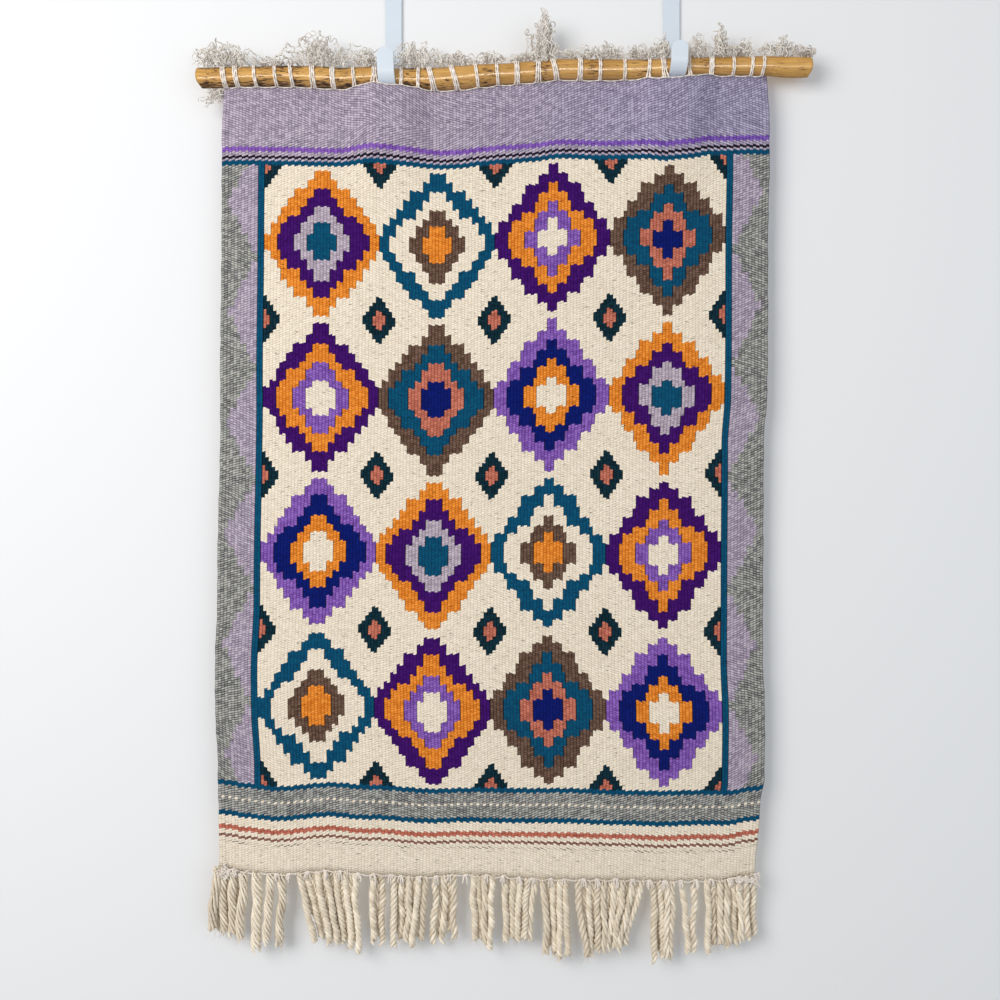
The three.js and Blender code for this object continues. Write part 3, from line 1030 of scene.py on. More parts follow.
@dataclass(frozen=True)
class StrapHook:
    """One hook bent from steel strap: plate, J, upright, saddle and back leg."""

    name: str
    # Where the upright stands, and how far to its side the plate stands.
    x: float
    skew: float
    wide: float = 18.2
    thick: float = 1.6
    # The J's radius, the plate's length above it, and how far the plate leans.
    cradle: float = 20.0
    plate: float = 21.3
    lean: float = math.radians(8)
    # How far the hook lifts the cloth's top edge beside it.
    lift: float = 0.0
    # The slot for the door, the bends above it, the saddle's underside and the back leg.
    door_gap: float = 36.0
    bend: float = 3.0
    saddle: float = 112.0
    back_leg: float = 40.0
    # The gap under the stick, and the rounding of the strap's arrises.
    clearance: float = 0.6
    edge: float = 0.45

    def push(self, x: Array, reach: float) -> Array:
        """How much this hook pushes the cloth's top edge at x, from 0 to 1."""
        return ease_out((np.abs(x - self.x - self.skew / 2) - 11) / reach)

    def build(self, stick: Stick, finish: bpy.types.Material) -> bpy.types.Object:
        """Make the hook.

        Args:
            stick: the stick that lies in it.
            finish: the powder coat.

        Returns:
            The finished piece.
        """
        sections = [self._section(*station) for station in self._stations(stick)]
        piece = mesh_piece(f"{self.name}_strap", np.vstack(sections), skin(sections))
        piece.data.materials.append(finish)
        piece.data.set_sharp_from_angle(angle=math.radians(15))
        return finished(piece, "painted_steel", [self.name])

    def _stations(self, stick: Stick) -> list[tuple[float, float, float, float]]:
        """Walk along the strap's middle line, from the plate's tip to the back leg's.

        Args:
            stick: the stick that lies in the J.

        Returns:
            Depth, height, heading and half width at each station.
        """
        seat = self.x + self.skew / 2 + np.array([-0.6, 0, 0.6]) * self.wide
        under = float(np.min(stick.height(seat) - stick.radius(seat)))
        middle = under - self.clearance + self.cradle - self.thick / 2
        top = self.saddle + self.thick / 2 - self.bend
        moves = (
            (self.plate, math.pi - self.lean, self.cradle, 30),
            (top - middle, -math.pi / 2, self.bend, 8),
            (self.door_gap + self.thick - 2 * self.bend, -math.pi / 2, self.bend, 8),
            (self.back_leg, 0.0, 0.0, 0),
        )
        heading = -math.pi / 2 + self.lean
        y = self.cradle * math.sin(heading) - self.plate * math.cos(heading)
        z = middle - self.cradle * math.cos(heading) - self.plate * math.sin(heading)
        line = [(y, z, heading)]
        for straight, turn, radius, steps in moves:
            y, z = y + straight * math.cos(heading), z + straight * math.sin(heading)
            line.append((y, z, heading))
            for _ in range(steps):
                angle = turn / steps
                chord = 2 * radius * math.sin(abs(angle) / 2)
                y += chord * math.cos(heading + angle / 2)
                z += chord * math.sin(heading + angle / 2)
                heading += angle
                line.append((y, z, heading))
        half = self.wide / 2
        tips = [math.sin(a) for a in np.linspace(0.12, math.pi / 2, 9)]
        front = [(*self._inward(line[0], s, 1), s * half) for s in tips]
        back = [(*self._inward(line[-1], s, -1), s * half) for s in tips]
        return [*front, *((*s, half) for s in line[1:-1]), *back[::-1]]

    def _inward(self, tip: Row, share: float, way: int) -> tuple[float, float, float]:
        """Step back from a rounded tip to where it has a share of the full width.

        Args:
            tip: the tip's depth, height and heading.
            share: the share of the width.
            way: 1 to step along the heading and -1 against it.

        Returns:
            Depth, height and heading there.
        """
        y, z, heading = tip
        back = way * self.wide / 2 * (1 - math.sqrt(1 - share * share)) * 0.8
        return y + back * math.cos(heading), z + back * math.sin(heading), heading

    def _section(self, y: float, z: float, heading: float, half: float) -> Array:
        """Cut the strap across: a flat bar with rounded arrises.

        Args:
            y: depth of the middle line.
            z: height of the middle line.
            heading: the line's heading.
            half: half the strap's width there.

        Returns:
            The corners of the section.
        """
        x = self.x + self.skew * min(max((self.cradle - y) / (2 * self.cradle), 0), 1.1)
        round_ = min(self.edge, half * 0.5)
        flat, deep = half - round_, self.thick / 2
        corners = [
            (-flat, deep), (flat, deep), (half - round_ * 0.3, deep - round_ * 0.3),
            (half, deep - round_), (half, round_ - deep),
            (half - round_ * 0.3, round_ * 0.3 - deep), (flat, -deep), (-flat, -deep),
            (round_ * 0.3 - half, round_ * 0.3 - deep), (-half, round_ - deep),
            (-half, deep - round_), (round_ * 0.3 - half, deep - round_ * 0.3),
        ]
        side, off = np.array(corners).T
        return np.column_stack(
            [x + side, y - off * math.sin(heading), z + off * math.cos(heading)]
        )


# ---------------------------------------------------------------- cloth


@dataclass(frozen=True)
class Cloth:
    """The woven panel as it hangs: a sheet with its ribs in the mesh."""

    stick: Stick
    hooks: tuple[StrapHook, ...]
    chart: Chart
    thick: float = 3.0
    depth: float = 860.0
    rows: int = 128
    valley: float = 0.5
    scallop: float = 17.3
    width: float = 597.0
    # How far forward a hook pushes the cloth, and how far down that fades.
    pushed: float = 14.5
    fades: float = 140.0
    # Shallow furrows along three ribs: the ribs, their depth, their middle and half length.
    furrow_ribs: tuple[int, ...] = (42, 83, 125)
    furrow: tuple[float, float, float] = (0.6, 277.0, 64.0)
    # The flat sheet's width and length in metres.
    flat: tuple[float, float] = (0.597, 0.861)
    # The height at which the side edges start, and each edge as it hangs.
    start: float = -15.0
    left: tuple[Row, ...] = (
        (-15, -305.5), (-70, -307.2), (-200, -308.2), (-355, -309.2), (-573, -312.3),
        (-650, -315), (-693, -314.5), (-759, -311.6), (-868, -310.5),
    )
    right: tuple[Row, ...] = (
        (-5, 286), (-60, 289), (-110, 289.3), (-200, 287.9), (-355, 286.7), (-410, 283.4),
        (-640, 282.4), (-700, 284.2), (-770, 283.6), (-800, 279), (-875, 274.2),
    )
    bottom: tuple[Row, ...] = (
        (-311, -864), (-277, -868.7), (-250, -871), (-190, -866.8), (-150, -871),
        (-87, -874.2), (-48, -872), (61, -876.4), (126, -876.9), (176, -879.1),
        (241, -877.6), (257, -873.7), (275, -871),
    )
    # Each swell or hollow: its middle, its half width and half height, and how far out.
    swells: tuple[Row, ...] = (
        (-220, -300, 120, 105, 3), (20, -290, 150, 110, 2.4), (225, -305, 100, 110, 3.4),
        (-20, -490, 240, 120, -2.6), (290, -520, 60, 150, -3.2),
        (-265, -685, 100, 95, 4), (-60, -690, 130, 100, 2.6), (185, -705, 130, 95, 3.6),
    )

    def push(self, x: Array) -> Array:
        """How much the nearer hook pushes the top edge forward at x, from 0 to 1."""
        return np.maximum(*(hook.push(x, 42) for hook in self.hooks))

    def top(self, x: Array) -> Array:
        """Height of the top edge at x, just under the lashings."""
        lift = sum(hook.lift * hook.push(x, 25) for hook in self.hooks)
        return self.stick.height(x) - self.stick.radius(x) - 0.8 + lift

    def hem(self, x: Array) -> Array:
        """Height of the bottom edge at x."""
        return read_rows(self.bottom, x) - 0.9 * np.abs(np.sin(x * np.pi / self.scallop))

    def middle(self, x: Array, z: Array) -> Array:
        """Find the depth of the cloth's middle layer.

        Args:
            x: places along the stick.
            z: heights of those places.

        Returns:
            Their depths.
        """
        out = self.pushed * self.push(x) * ease_out((self.top(x) - z - 8) / self.fades)
        for at, high, wide, tall, much in self.swells:
            away = np.hypot((x - at) / wide, (z - high) / tall)
            out = out + much * ease_out(away)
        hemness = ease_out((z - self.hem(x)) / 120)
        return -(out + 1.1 * hemness * np.sin(x / 47))

    def spot(self, edge: Callable[[Array], Array], x: float) -> tuple[float, float]:
        """Depth and height of the cloth's top or bottom edge at one place."""
        z = float(edge(np.array(x)))
        return float(self.middle(np.array(x), np.array(z))), z

    def lay(self, share: Array, depth: Array) -> tuple[Array, Array]:
        """Find a place on the hanging cloth.

        Args:
            share: how far across it is, from 0 at the left to 1 at the right.
            depth: how far down it is, in millimetres of woven length.

        Returns:
            X and Z there.
        """

        def across(down: Array) -> Array:
            """X of the place when it lies this far down."""
            left = read_rows(self.left, self.start - down)
            right = read_rows(self.right, self.start - down)
            return left + (right - left) * share

        x = across(depth)
        top, hem = self.top(across(0 * depth)), self.hem(across(0 * depth + self.depth))
        return x, top + (hem - top) * depth / self.depth

    def build(self, finish: WovenWool) -> bpy.types.Object:
        """Make the cloth with both its faces and its rim.

        Args:
            finish: the woven wool.

        Returns:
            The finished piece.
        """
        steps = self.chart.ribs * 2
        share, depth = np.meshgrid(
            np.arange(steps + 1) / steps, np.linspace(0, self.depth, self.rows)
        )
        x, z = self.lay(share, depth)
        edge = np.minimum(share, 1 - share) * self.width
        wobble = np.sin(depth / 5.1) * np.sin(depth / 13.7) + np.sin(depth / 37) * 0.6
        x = x + np.where(share < 0.5, -1, 1) * 0.45 * wobble * ease_out(edge / 12)
        y = self.middle(x, z) + 0.25 * np.sin(x / 23 + z / 61) * np.sin(z / 35 - x / 80)
        furrow = np.zeros_like(share)
        furrow[:, 2:-2:2] = self.valley
        much, at, reach = self.furrow
        for rib in self.furrow_ribs:
            furrow[:, 2 * rib] += much * (np.abs(depth[:, 0] - at) < reach)
        half = self.thick / 2 + 0.3 * ease_out((edge - 4) / 5) - furrow
        top_down = np.minimum(depth, self.depth - depth)
        half = half * (1 - 0.55 * ease_out(top_down / 3))
        half = half * (1 - 0.5 * ease_out(edge / 1.8))
        points = np.vstack([
            np.column_stack([x.ravel(), (y + way * half).ravel(), z.ravel()])
            for way in (-1, 1)
        ])
        faces = self._faces(steps + 1)
        piece = mesh_piece("woven_panel", points, faces)
        uv = piece.data.uv_layers.new(name="weave")
        corners = np.empty(len(piece.data.loops), dtype=np.int64)
        piece.data.loops.foreach_get("vertex_index", corners)
        corners %= share.size
        flat = np.column_stack([share.ravel()[corners], depth.ravel()[corners] / self.depth])
        uv.data.foreach_set("uv", flat.ravel())
        piece.data.materials.append(finish.material())
        return finished(piece, "wool_cloth", ["cloth"])

    def _faces(self, across: int) -> list[list[int]]:
        """List the faces of the front, the back and the rim.

        Args:
            across: how many points a row has.

        Returns:
            The faces.
        """
        back = self.rows * across
        faces = []
        for r in range(self.rows - 1):
            for here in range(r * across, r * across + across - 1):
                below = here + across
                faces.append([here, below, below + 1, here + 1])
                faces.append([back + here, back + here + 1, back + below + 1, back + below])
        rim = [
            *range(across),
            *(r * across + across - 1 for r in range(1, self.rows)),
            *range(back - 2, back - across - 1, -1),
            *(r * across for r in range(self.rows - 2, 0, -1)),
        ]
        for a, b in zip(rim, [*rim[1:], rim[0]]):
            faces.append([a, b, back + b, back + a])
        return faces


# ---------------------------------------------------------------- yarn work


@dataclass(frozen=True)
class Run:
    """One run of yarn: its path, its thickness and spread along it, and its lay."""

    path: Array
    thick: Array
    hand: float = 1.0
    phase: float = 0.0
    spread: Union[Array, float] = 1.0


@dataclass(frozen=True)
class YarnWork:
    """Plied or kinked yarn along any number of paths, made by one node tree."""

    name: str
    strands: int
    # The length of one full turn, how far out a strand lies, and a strand's radius.
    twist: float
    lay: float
    radius: float
    # The length of one step along the path, and the sides of a strand.
    step: float
    sides: int
    # How far a strand wanders, and the share of its length that may be cut off.
    stray: float = 0.0
    ragged: float = 0.0

    def build(self, runs: Sequence[Run], finish: bpy.types.Material) -> bpy.types.Object:
        """Make the yarn as one plain mesh.

        Args:
            runs: the paths, in millimetres.
            finish: the yarn's material.

        Returns:
            The object, not yet on its body.
        """
        guide = self._guide(runs)
        modifier = guide.modifiers.new("yarn", "NODES")
        tree = self._tree()
        modifier.node_group = tree
        values = {
            "Strands": self.strands,
            "Twist": self.twist * MM,
            "Lay": self.lay * MM,
            "Radius": self.radius * MM,
            "Step": self.step * MM,
            "Sides": self.sides,
            "Stray": self.stray * MM,
            "Ragged": self.ragged,
            "Seed": 11,
            "Finish": finish,
        }
        for item in tree.interface.items_tree:
            if item.in_out == "INPUT" and item.name in values:
                modifier[item.identifier] = values[item.name]
        bpy.context.view_layer.update()
        graph = bpy.context.evaluated_depsgraph_get()
        mesh = bpy.data.meshes.new_from_object(guide.evaluated_get(graph))
        mesh.name = self.name
        bpy.data.objects.remove(guide)
        piece = bpy.data.objects.new(self.name, mesh)
        bpy.context.scene.collection.objects.link(piece)
        return piece

    def _guide(self, runs: Sequence[Run]) -> bpy.types.Object:
        """Lay the paths down as edges with their attributes.

        Args:
            runs: the paths.

        Returns:
            The object that carries them.
        """
        points = np.vstack([run.path for run in runs]) * MM
        edges, start = [], 0
        for run in runs:
            count = len(run.path)
            edges += [(start + i, start + i + 1) for i in range(count - 1)]
            start += count
        mesh = bpy.data.meshes.new(f"{self.name}_guide")
        mesh.from_pydata(points.tolist(), edges, [])
        for name in ("thick", "hand", "phase", "spread"):
            values = [getattr(run, name) * np.ones(len(run.path)) for run in runs]
            column = mesh.attributes.new(name, "FLOAT", "POINT")
            column.data.foreach_set("value", np.concatenate(values).astype(np.float32))
        guide = bpy.data.objects.new(mesh.name, mesh)
        bpy.context.scene.collection.objects.link(guide)
        return guide

    def _tree(self) -> bpy.types.NodeTree:
        """Build the tree: each path becomes strands that wind round it.

        Returns:
            The node tree.
        """
        tree = bpy.data.node_groups.new(f"{self.name}_yarn", "GeometryNodeTree")
        sockets = {
            "Geometry": "Geometry", "Strands": "Int", "Twist": "Float", "Lay": "Float",
            "Radius": "Float", "Step": "Float", "Sides": "Int", "Stray": "Float",
            "Ragged": "Float", "Seed": "Int", "Finish": "Material",
        }
        for name, kind in sockets.items():
            tree.interface.new_socket(name, in_out="INPUT", socket_type=f"NodeSocket{kind}")
        tree.interface.new_socket("Geometry", in_out="OUTPUT", socket_type="NodeSocketGeometry")
        given = add_node(tree, "NodeGroupInput", {}, {}).outputs

        def attribute(name: str) -> Signal:
            """Read a column of numbers that the mesh carries."""
            node = add_node(
                tree, "GeometryNodeInputNamedAttribute", {"data_type": "FLOAT"}, {"Name": name}
            )
            return Signal(tree, node.outputs[0])

        curves = add_node(tree, "GeometryNodeMeshToCurve", {}, {"Mesh": given["Geometry"]})
        even = add_node(
            tree,
            "GeometryNodeResampleCurve",
            {"mode": "LENGTH"},
            {"Curve": curves.outputs[0], "Length": given["Step"]},
        )
        copies = add_node(
            tree,
            "GeometryNodeDuplicateElements",
            {"domain": "SPLINE"},
            {"Geometry": even.outputs[0], "Amount": given["Strands"]},
        )
        number = Signal(tree, copies.outputs[1])
        length = Signal(
            tree, add_node(tree, "GeometryNodeSplineParameter", {}, {}).outputs["Length"]
        )
        share = number / given["Strands"] + length * attribute("hand") / given["Twist"]
        angle = (share + attribute("phase")) * (2 * math.pi)
        tangent = add_node(tree, "GeometryNodeInputTangent", {}, {}).outputs[0]
        normal = add_node(tree, "GeometryNodeInputNormal", {}, {}).outputs[0]
        turned = add_node(
            tree,
            "ShaderNodeVectorRotate",
            {"rotation_type": "AXIS_ANGLE"},
            {"Vector": normal, "Axis": tangent, "Angle": angle},
        )
        reach = attribute("thick") * attribute("spread") * given["Lay"]
        around = add_node(
            tree,
            "ShaderNodeVectorMath",
            {"operation": "SCALE"},
            {0: turned.outputs[0], "Scale": reach},
        )
        place = add_node(tree, "GeometryNodeInputPosition", {}, {}).outputs[0]
        noise = add_node(
            tree,
            "ShaderNodeTexNoise",
            {"noise_dimensions": "4D"},
            {"Vector": place, "W": given["Seed"], "Scale": 160.0, "Detail": 1.0},
        )
        centred = add_node(
            tree,
            "ShaderNodeVectorMath",
            {"operation": "SUBTRACT"},
            {0: noise.outputs[1], 1: (0.5,) * 3},
        )
        stray = add_node(
            tree,
            "ShaderNodeVectorMath",
            {"operation": "SCALE"},
            {0: centred.outputs[0], "Scale": given["Stray"]},
        )
        offset = add_node(
            tree,
            "ShaderNodeVectorMath",
            {"operation": "ADD"},
            {0: around.outputs[0], 1: stray.outputs[0]},
        )
        laid = add_node(
            tree,
            "GeometryNodeSetPosition",
            {},
            {"Geometry": copies.outputs[0], "Offset": offset.outputs[0]},
        )
        index = add_node(tree, "GeometryNodeInputIndex", {}, {}).outputs[0]
        shade = add_node(
            tree,
            "FunctionNodeRandomValue",
            {"data_type": "FLOAT"},
            {"ID": index, "Seed": given["Seed"]},
        )
        cut = Signal(tree, shade.outputs[1]) * given["Ragged"] * -1 + 1
        marked = add_node(
            tree, "GeometryNodeTrimCurve", {"mode": "FACTOR"}, {0: laid.outputs[0], "End": cut}
        ).outputs[0]
        for name, value, domain in (
            ("along", length, "POINT"), ("strand", shade.outputs[1], "CURVE")
        ):
            marked = add_node(
                tree,
                "GeometryNodeStoreNamedAttribute",
                {"data_type": "FLOAT", "domain": domain},
                {"Geometry": marked, "Name": name, "Value": value},
            ).outputs[0]
        circle = add_node(
            tree,
            "GeometryNodeCurvePrimitiveCircle",
            {},
            {"Resolution": given["Sides"], "Radius": 1.0},
        )
        factor = add_node(tree, "GeometryNodeSplineParameter", {}, {}).outputs["Factor"]
        profile = add_node(
            tree,
            "GeometryNodeStoreNamedAttribute",
            {"data_type": "FLOAT", "domain": "POINT"},
            {"Geometry": circle.outputs[0], "Name": "around", "Value": factor},
        )
        tube = add_node(
            tree,
            "GeometryNodeCurveToMesh",
            {},
            {
                "Curve": marked,
                "Profile Curve": profile.outputs[0],
                "Scale": attribute("thick") * given["Radius"],
                "Fill Caps": True,
            },
        )
        smooth = add_node(tree, "GeometryNodeSetShadeSmooth", {}, {"Geometry": tube.outputs[0]})
        real = add_node(
            tree, "GeometryNodeRealizeInstances", {}, {"Geometry": smooth.outputs[0]}
        )
        dressed = add_node(
            tree,
            "GeometryNodeSetMaterial",
            {},
            {"Geometry": real.outputs[0], "Material": given["Finish"]},
        )
        add_node(tree, "NodeGroupOutput", {}, {"Geometry": dressed.outputs[0]})
        return tree


@dataclass(frozen=True)
class Bundle:
    """Ropes that hang together: the places of the first and the last of them."""

    ropes: int
    top: tuple[float, float]
    tip: tuple[float, float]
    low: tuple[float, float]
    thick: float = 9.0


@dataclass(frozen=True)
class Fringe:
    """The comb of plied ropes below the hem, with its cotton knots and hem thread."""

    cloth: Cloth
    bundles: tuple[Bundle, ...] = (
        Bundle(4, (-317, -284), (-318, -286), (-942, -949), 10.3),
        Bundle(1, (-268, -268), (-270, -270), (-959, -959), 12),
        Bundle(2, (-254, -242), (-257, -247), (-947, -958), 10),
        Bundle(7, (-224, -162), (-206, -160), (-949, -957)),
        Bundle(2, (-144, -133), (-143, -134), (-949, -949)),
        Bundle(5, (-120, -85), (-120, -92), (-950, -953)),
        Bundle(3, (-74, -54), (-77, -56), (-948, -946)),
        Bundle(4, (-34, -14), (-31, -15), (-951, -956)),
        Bundle(5, (2, 32), (1, 30), (-950, -948)),
        Bundle(4, (44, 69), (47, 69), (-967, -965)),
        Bundle(8, (82, 150), (88, 132), (-967, -954)),
        Bundle(4, (161, 184), (166, 182), (-970, -966)),
        Bundle(2, (196, 209), (199, 207), (-963, -963)),
        Bundle(8, (221, 272), (222, 274), (-960, -946)),
    )
    # How far each rope strays from its place at the hem, at its tip and in its length.
    strays: tuple[float, float, float] = (1.0, 1.6, 4.0)
    # The first and last knot of the hem, how many there are, and how far each one strays.
    knots: tuple[float, float, int, float] = (-250, 243, 29, 3.5)
    # Where the hem thread starts and ends.
    hem_ends: tuple[float, float] = (-309.0, 274.0)
    # Each frayed corner: where it starts and ends, and how many curls it has.
    corners: tuple[Row, ...] = ((-314, -283, 40), (252, 276, 26))
    # Two ropes of a bundle that hang between near and close apart, in millimetres, have
    # one more between them.
    near: float = 7.0
    close: float = 12.5
    # A rope thicker than this has come untwisted and hangs as a lock.
    tight: float = 9.0

    def build(self, wool: bpy.types.Material, cotton: bpy.types.Material) -> list[bpy.types.Object]:
        """Make the ropes, the knots and the hem thread.

        Args:
            wool: the ropes' finish.
            cotton: the knots' finish.

        Returns:
            The finished pieces.
        """
        ropes = YarnWork(
            "fringe_ropes", strands=3, twist=17, lay=1.9, radius=1.75, step=1.8, sides=6,
            stray=1.6, ragged=0.1,
        )
        locks = YarnWork(
            "fringe_locks", strands=6, twist=46, lay=2.9, radius=1.3, step=2.4, sides=5,
            stray=2.0, ragged=0.16,
        )
        fuzz = YarnWork(
            "fringe_fuzz", strands=1, twist=9, lay=0.5, radius=0.075, step=1.5, sides=3,
            stray=1.6,
        )
        knots = YarnWork(
            "hem_knots", strands=2, twist=5, lay=0.55, radius=0.5, step=0.9, sides=4,
            stray=0.8,
        )
        tight, loose = list(self._rope_runs(False)), list(self._rope_runs(True))
        made = [
            (ropes.build(tight, wool), "wool_fringe", ["fringe"]),
            (locks.build(loose, wool), "wool_fringe", []),
            (fuzz.build(list(self._fuzz_runs([*tight, *loose])), wool), "wool_fringe", []),
            (knots.build(list(self._knot_runs()), cotton), "cotton_lashing", []),
        ]
        return [finished(piece, slot, nodes) for piece, slot, nodes in made]

    def _hem(self, x: float) -> tuple[float, float]:
        """Depth and height of the hem at x."""
        return self.cloth.spot(self.cloth.hem, x)

    def _places(self) -> list[Row]:
        """Spread each bundle's ropes between its first and its last.

        Returns:
            A row for each rope: its place at the hem and at its tip, its tip's height, its
            thickness and how far back it hangs.
        """
        random = np.random.default_rng(17)
        places = []
        for bundle in self.bundles:
            hung = []
            for i, share in enumerate(np.linspace(0, 1, bundle.ropes)):
                x, tip, low = (
                    a + (b - a) * share + random.uniform(-stray, stray)
                    for (a, b), stray in zip((bundle.top, bundle.tip, bundle.low), self.strays)
                )
                hung.append((x, tip, low, bundle.thick, i % 3 == 1))
            places.extend(hung)
            for a, b in zip(hung[:-1], hung[1:]):
                if self.near < b[0] - a[0] < self.close:
                    low = max(a[2], b[2]) + random.uniform(2, 9)
                    places.append(((a[0] + b[0]) / 2, (a[1] + b[1]) / 2, low, 8, 2))
        return places

    def _knot_places(self) -> Array:
        """Space the knots along the hem, as unevenly as a hand ties them."""
        first, last, count, stray = self.knots
        strayed = np.random.default_rng(9).uniform(-stray, stray, count)
        return np.linspace(first, last, count) + strayed

    def _rope_runs(self, loose: bool) -> Iterable[Run]:
        """Lay out the ropes, or the locks that have lost their twist.

        Args:
            loose: whether to lay out the locks.

        Returns:
            One run for each rope or lock.
        """
        random = np.random.default_rng(5)
        for x, tip, low, thick, behind in self._places():
            if (thick > self.tight) != loose:
                continue
            x = float(np.clip(x, -313, 272))
            y, z = self._hem(x)
            sway = random.uniform(-1.6, 1.6, 4)
            start = np.array([x, y + behind * 1.5 + random.uniform(-0.6, 0.6), z + 0.2])
            end = np.array([tip, y + behind * 4.5 + random.uniform(-2, 2), low])
            points = []
            for i, share in enumerate((0, 0.12, 0.35, 0.6, 0.82, 1)):
                bend = ease_out(np.array(1 - share)) if abs(tip - x) > 3 else share
                at = start + (end - start) * np.array([float(bend), share, share])
                at[0] += sway[i % 4] * (0 < share < 1)
                points.append(at)
            path = flowing(points, 6)
            share = np.linspace(0, 1, len(path))
            top = np.clip(1 - share / 0.2, 0, 1)
            end_share = np.clip((share - 0.82) / 0.18, 0, 1)
            body = 1 - 0.5 * top**2 - 0.45 * end_share**2 + 0.08 * np.sin(share * 23 + x)
            hand = random.choice([-1.0, -1.0, -1.0, 1.0]) * random.uniform(0.5, 1.3)
            spread = 1 + 0.7 * top + 0.9 * end_share**2
            yield Run(path, body * thick / 8.4, hand, random.random(), spread)

    def _fuzz_runs(self, ropes: Sequence[Run]) -> Iterable[Run]:
        """Pull loose fibres out of the ropes, most of them near the tips.

        Args:
            ropes: the ropes' runs.

        Returns:
            One run for each fibre.
        """
        random = np.random.default_rng(13)
        for rope in ropes:
            for share in (*random.uniform(0.05, 1, 30), *random.uniform(0.9, 1, 6)):
                at = rope.path[int(share * (len(rope.path) - 1))]
                side = random.choice([-1.0, 1.0])
                at = at + np.array([side * random.uniform(1, 3.4), random.uniform(-3, 1), 0])
                points = [at]
                for _ in range(3):
                    move = (side * random.uniform(0, 1.8), random.uniform(-1, 0.6))
                    at = at + np.array([*move, -random.uniform(0.6, 2.6)])
                    points.append(at)
                yield Run(flowing(points, 2), np.full(7, random.uniform(0.7, 1.2)))

    def _knot_runs(self) -> Iterable[Run]:
        """Lay out the knots, the scallops between them and the frayed corners.

        Returns:
            Runs of cotton.
        """
        random = np.random.default_rng(8)
        knots = [float(x) for x in self._knot_places()]
        for knot in knots:
            y, z = self._hem(knot)
            for _ in range(int(random.integers(3, 7))):
                side = random.uniform(-3.6, 3.6)
                drop = random.uniform(3.5, 9)
                front = y - random.uniform(2.2, 4.2)
                yield self._curl([
                    (knot + random.uniform(-2, 2), y - 1.6, z + 0.8),
                    (knot + side * 0.7, front, z - drop * 0.25),
                    (knot + side, front - 0.8, z - drop * 0.7),
                    (knot + side * random.uniform(0.6, 1.2), front, z - drop * 0.95),
                    (knot + side * random.uniform(0.5, 1.5), front + 0.6, z - drop * 1.15),
                ], random)
        line = [self.hem_ends[0], *knots, self.hem_ends[1]]
        for a, b in zip(line[:-1], line[1:]):
            points = []
            for share in (0, 0.25, 0.5, 0.75, 1):
                x = a + (b - a) * share
                y, z = self._hem(x)
                points.append((x, y - 1.9, z + 0.6 - 2.2 * math.sin(math.pi * share)))
            yield self._curl(points, random, thick=0.8)
        for low, high, count in self.corners:
            for _ in range(count):
                x = random.uniform(low, high)
                y, z = self._hem(float(np.clip(x, -310, 273)))
                at = np.array([x, y - random.uniform(1.5, 5), z + random.uniform(-8, 1.5)])
                points = [at]
                for _ in range(6):
                    at = at + random.uniform((-3.6, -1.0, -3.2), (3.6, 1.0, 2.2))
                    points.append(at)
                yield self._curl(points, random)

    @staticmethod
    def _curl(points: Sequence[Row], random: np.random.Generator, thick: float = 1.0) -> Run:
        """Run a piece of cotton through its points.

        Args:
            points: what it passes.
            random: the source of its turn.
            thick: its thickness, as a share of the full one.

        Returns:
            The run.
        """
        path = flowing(points, 4)
        return Run(path, np.full(len(path), thick), 1.0, random.random())


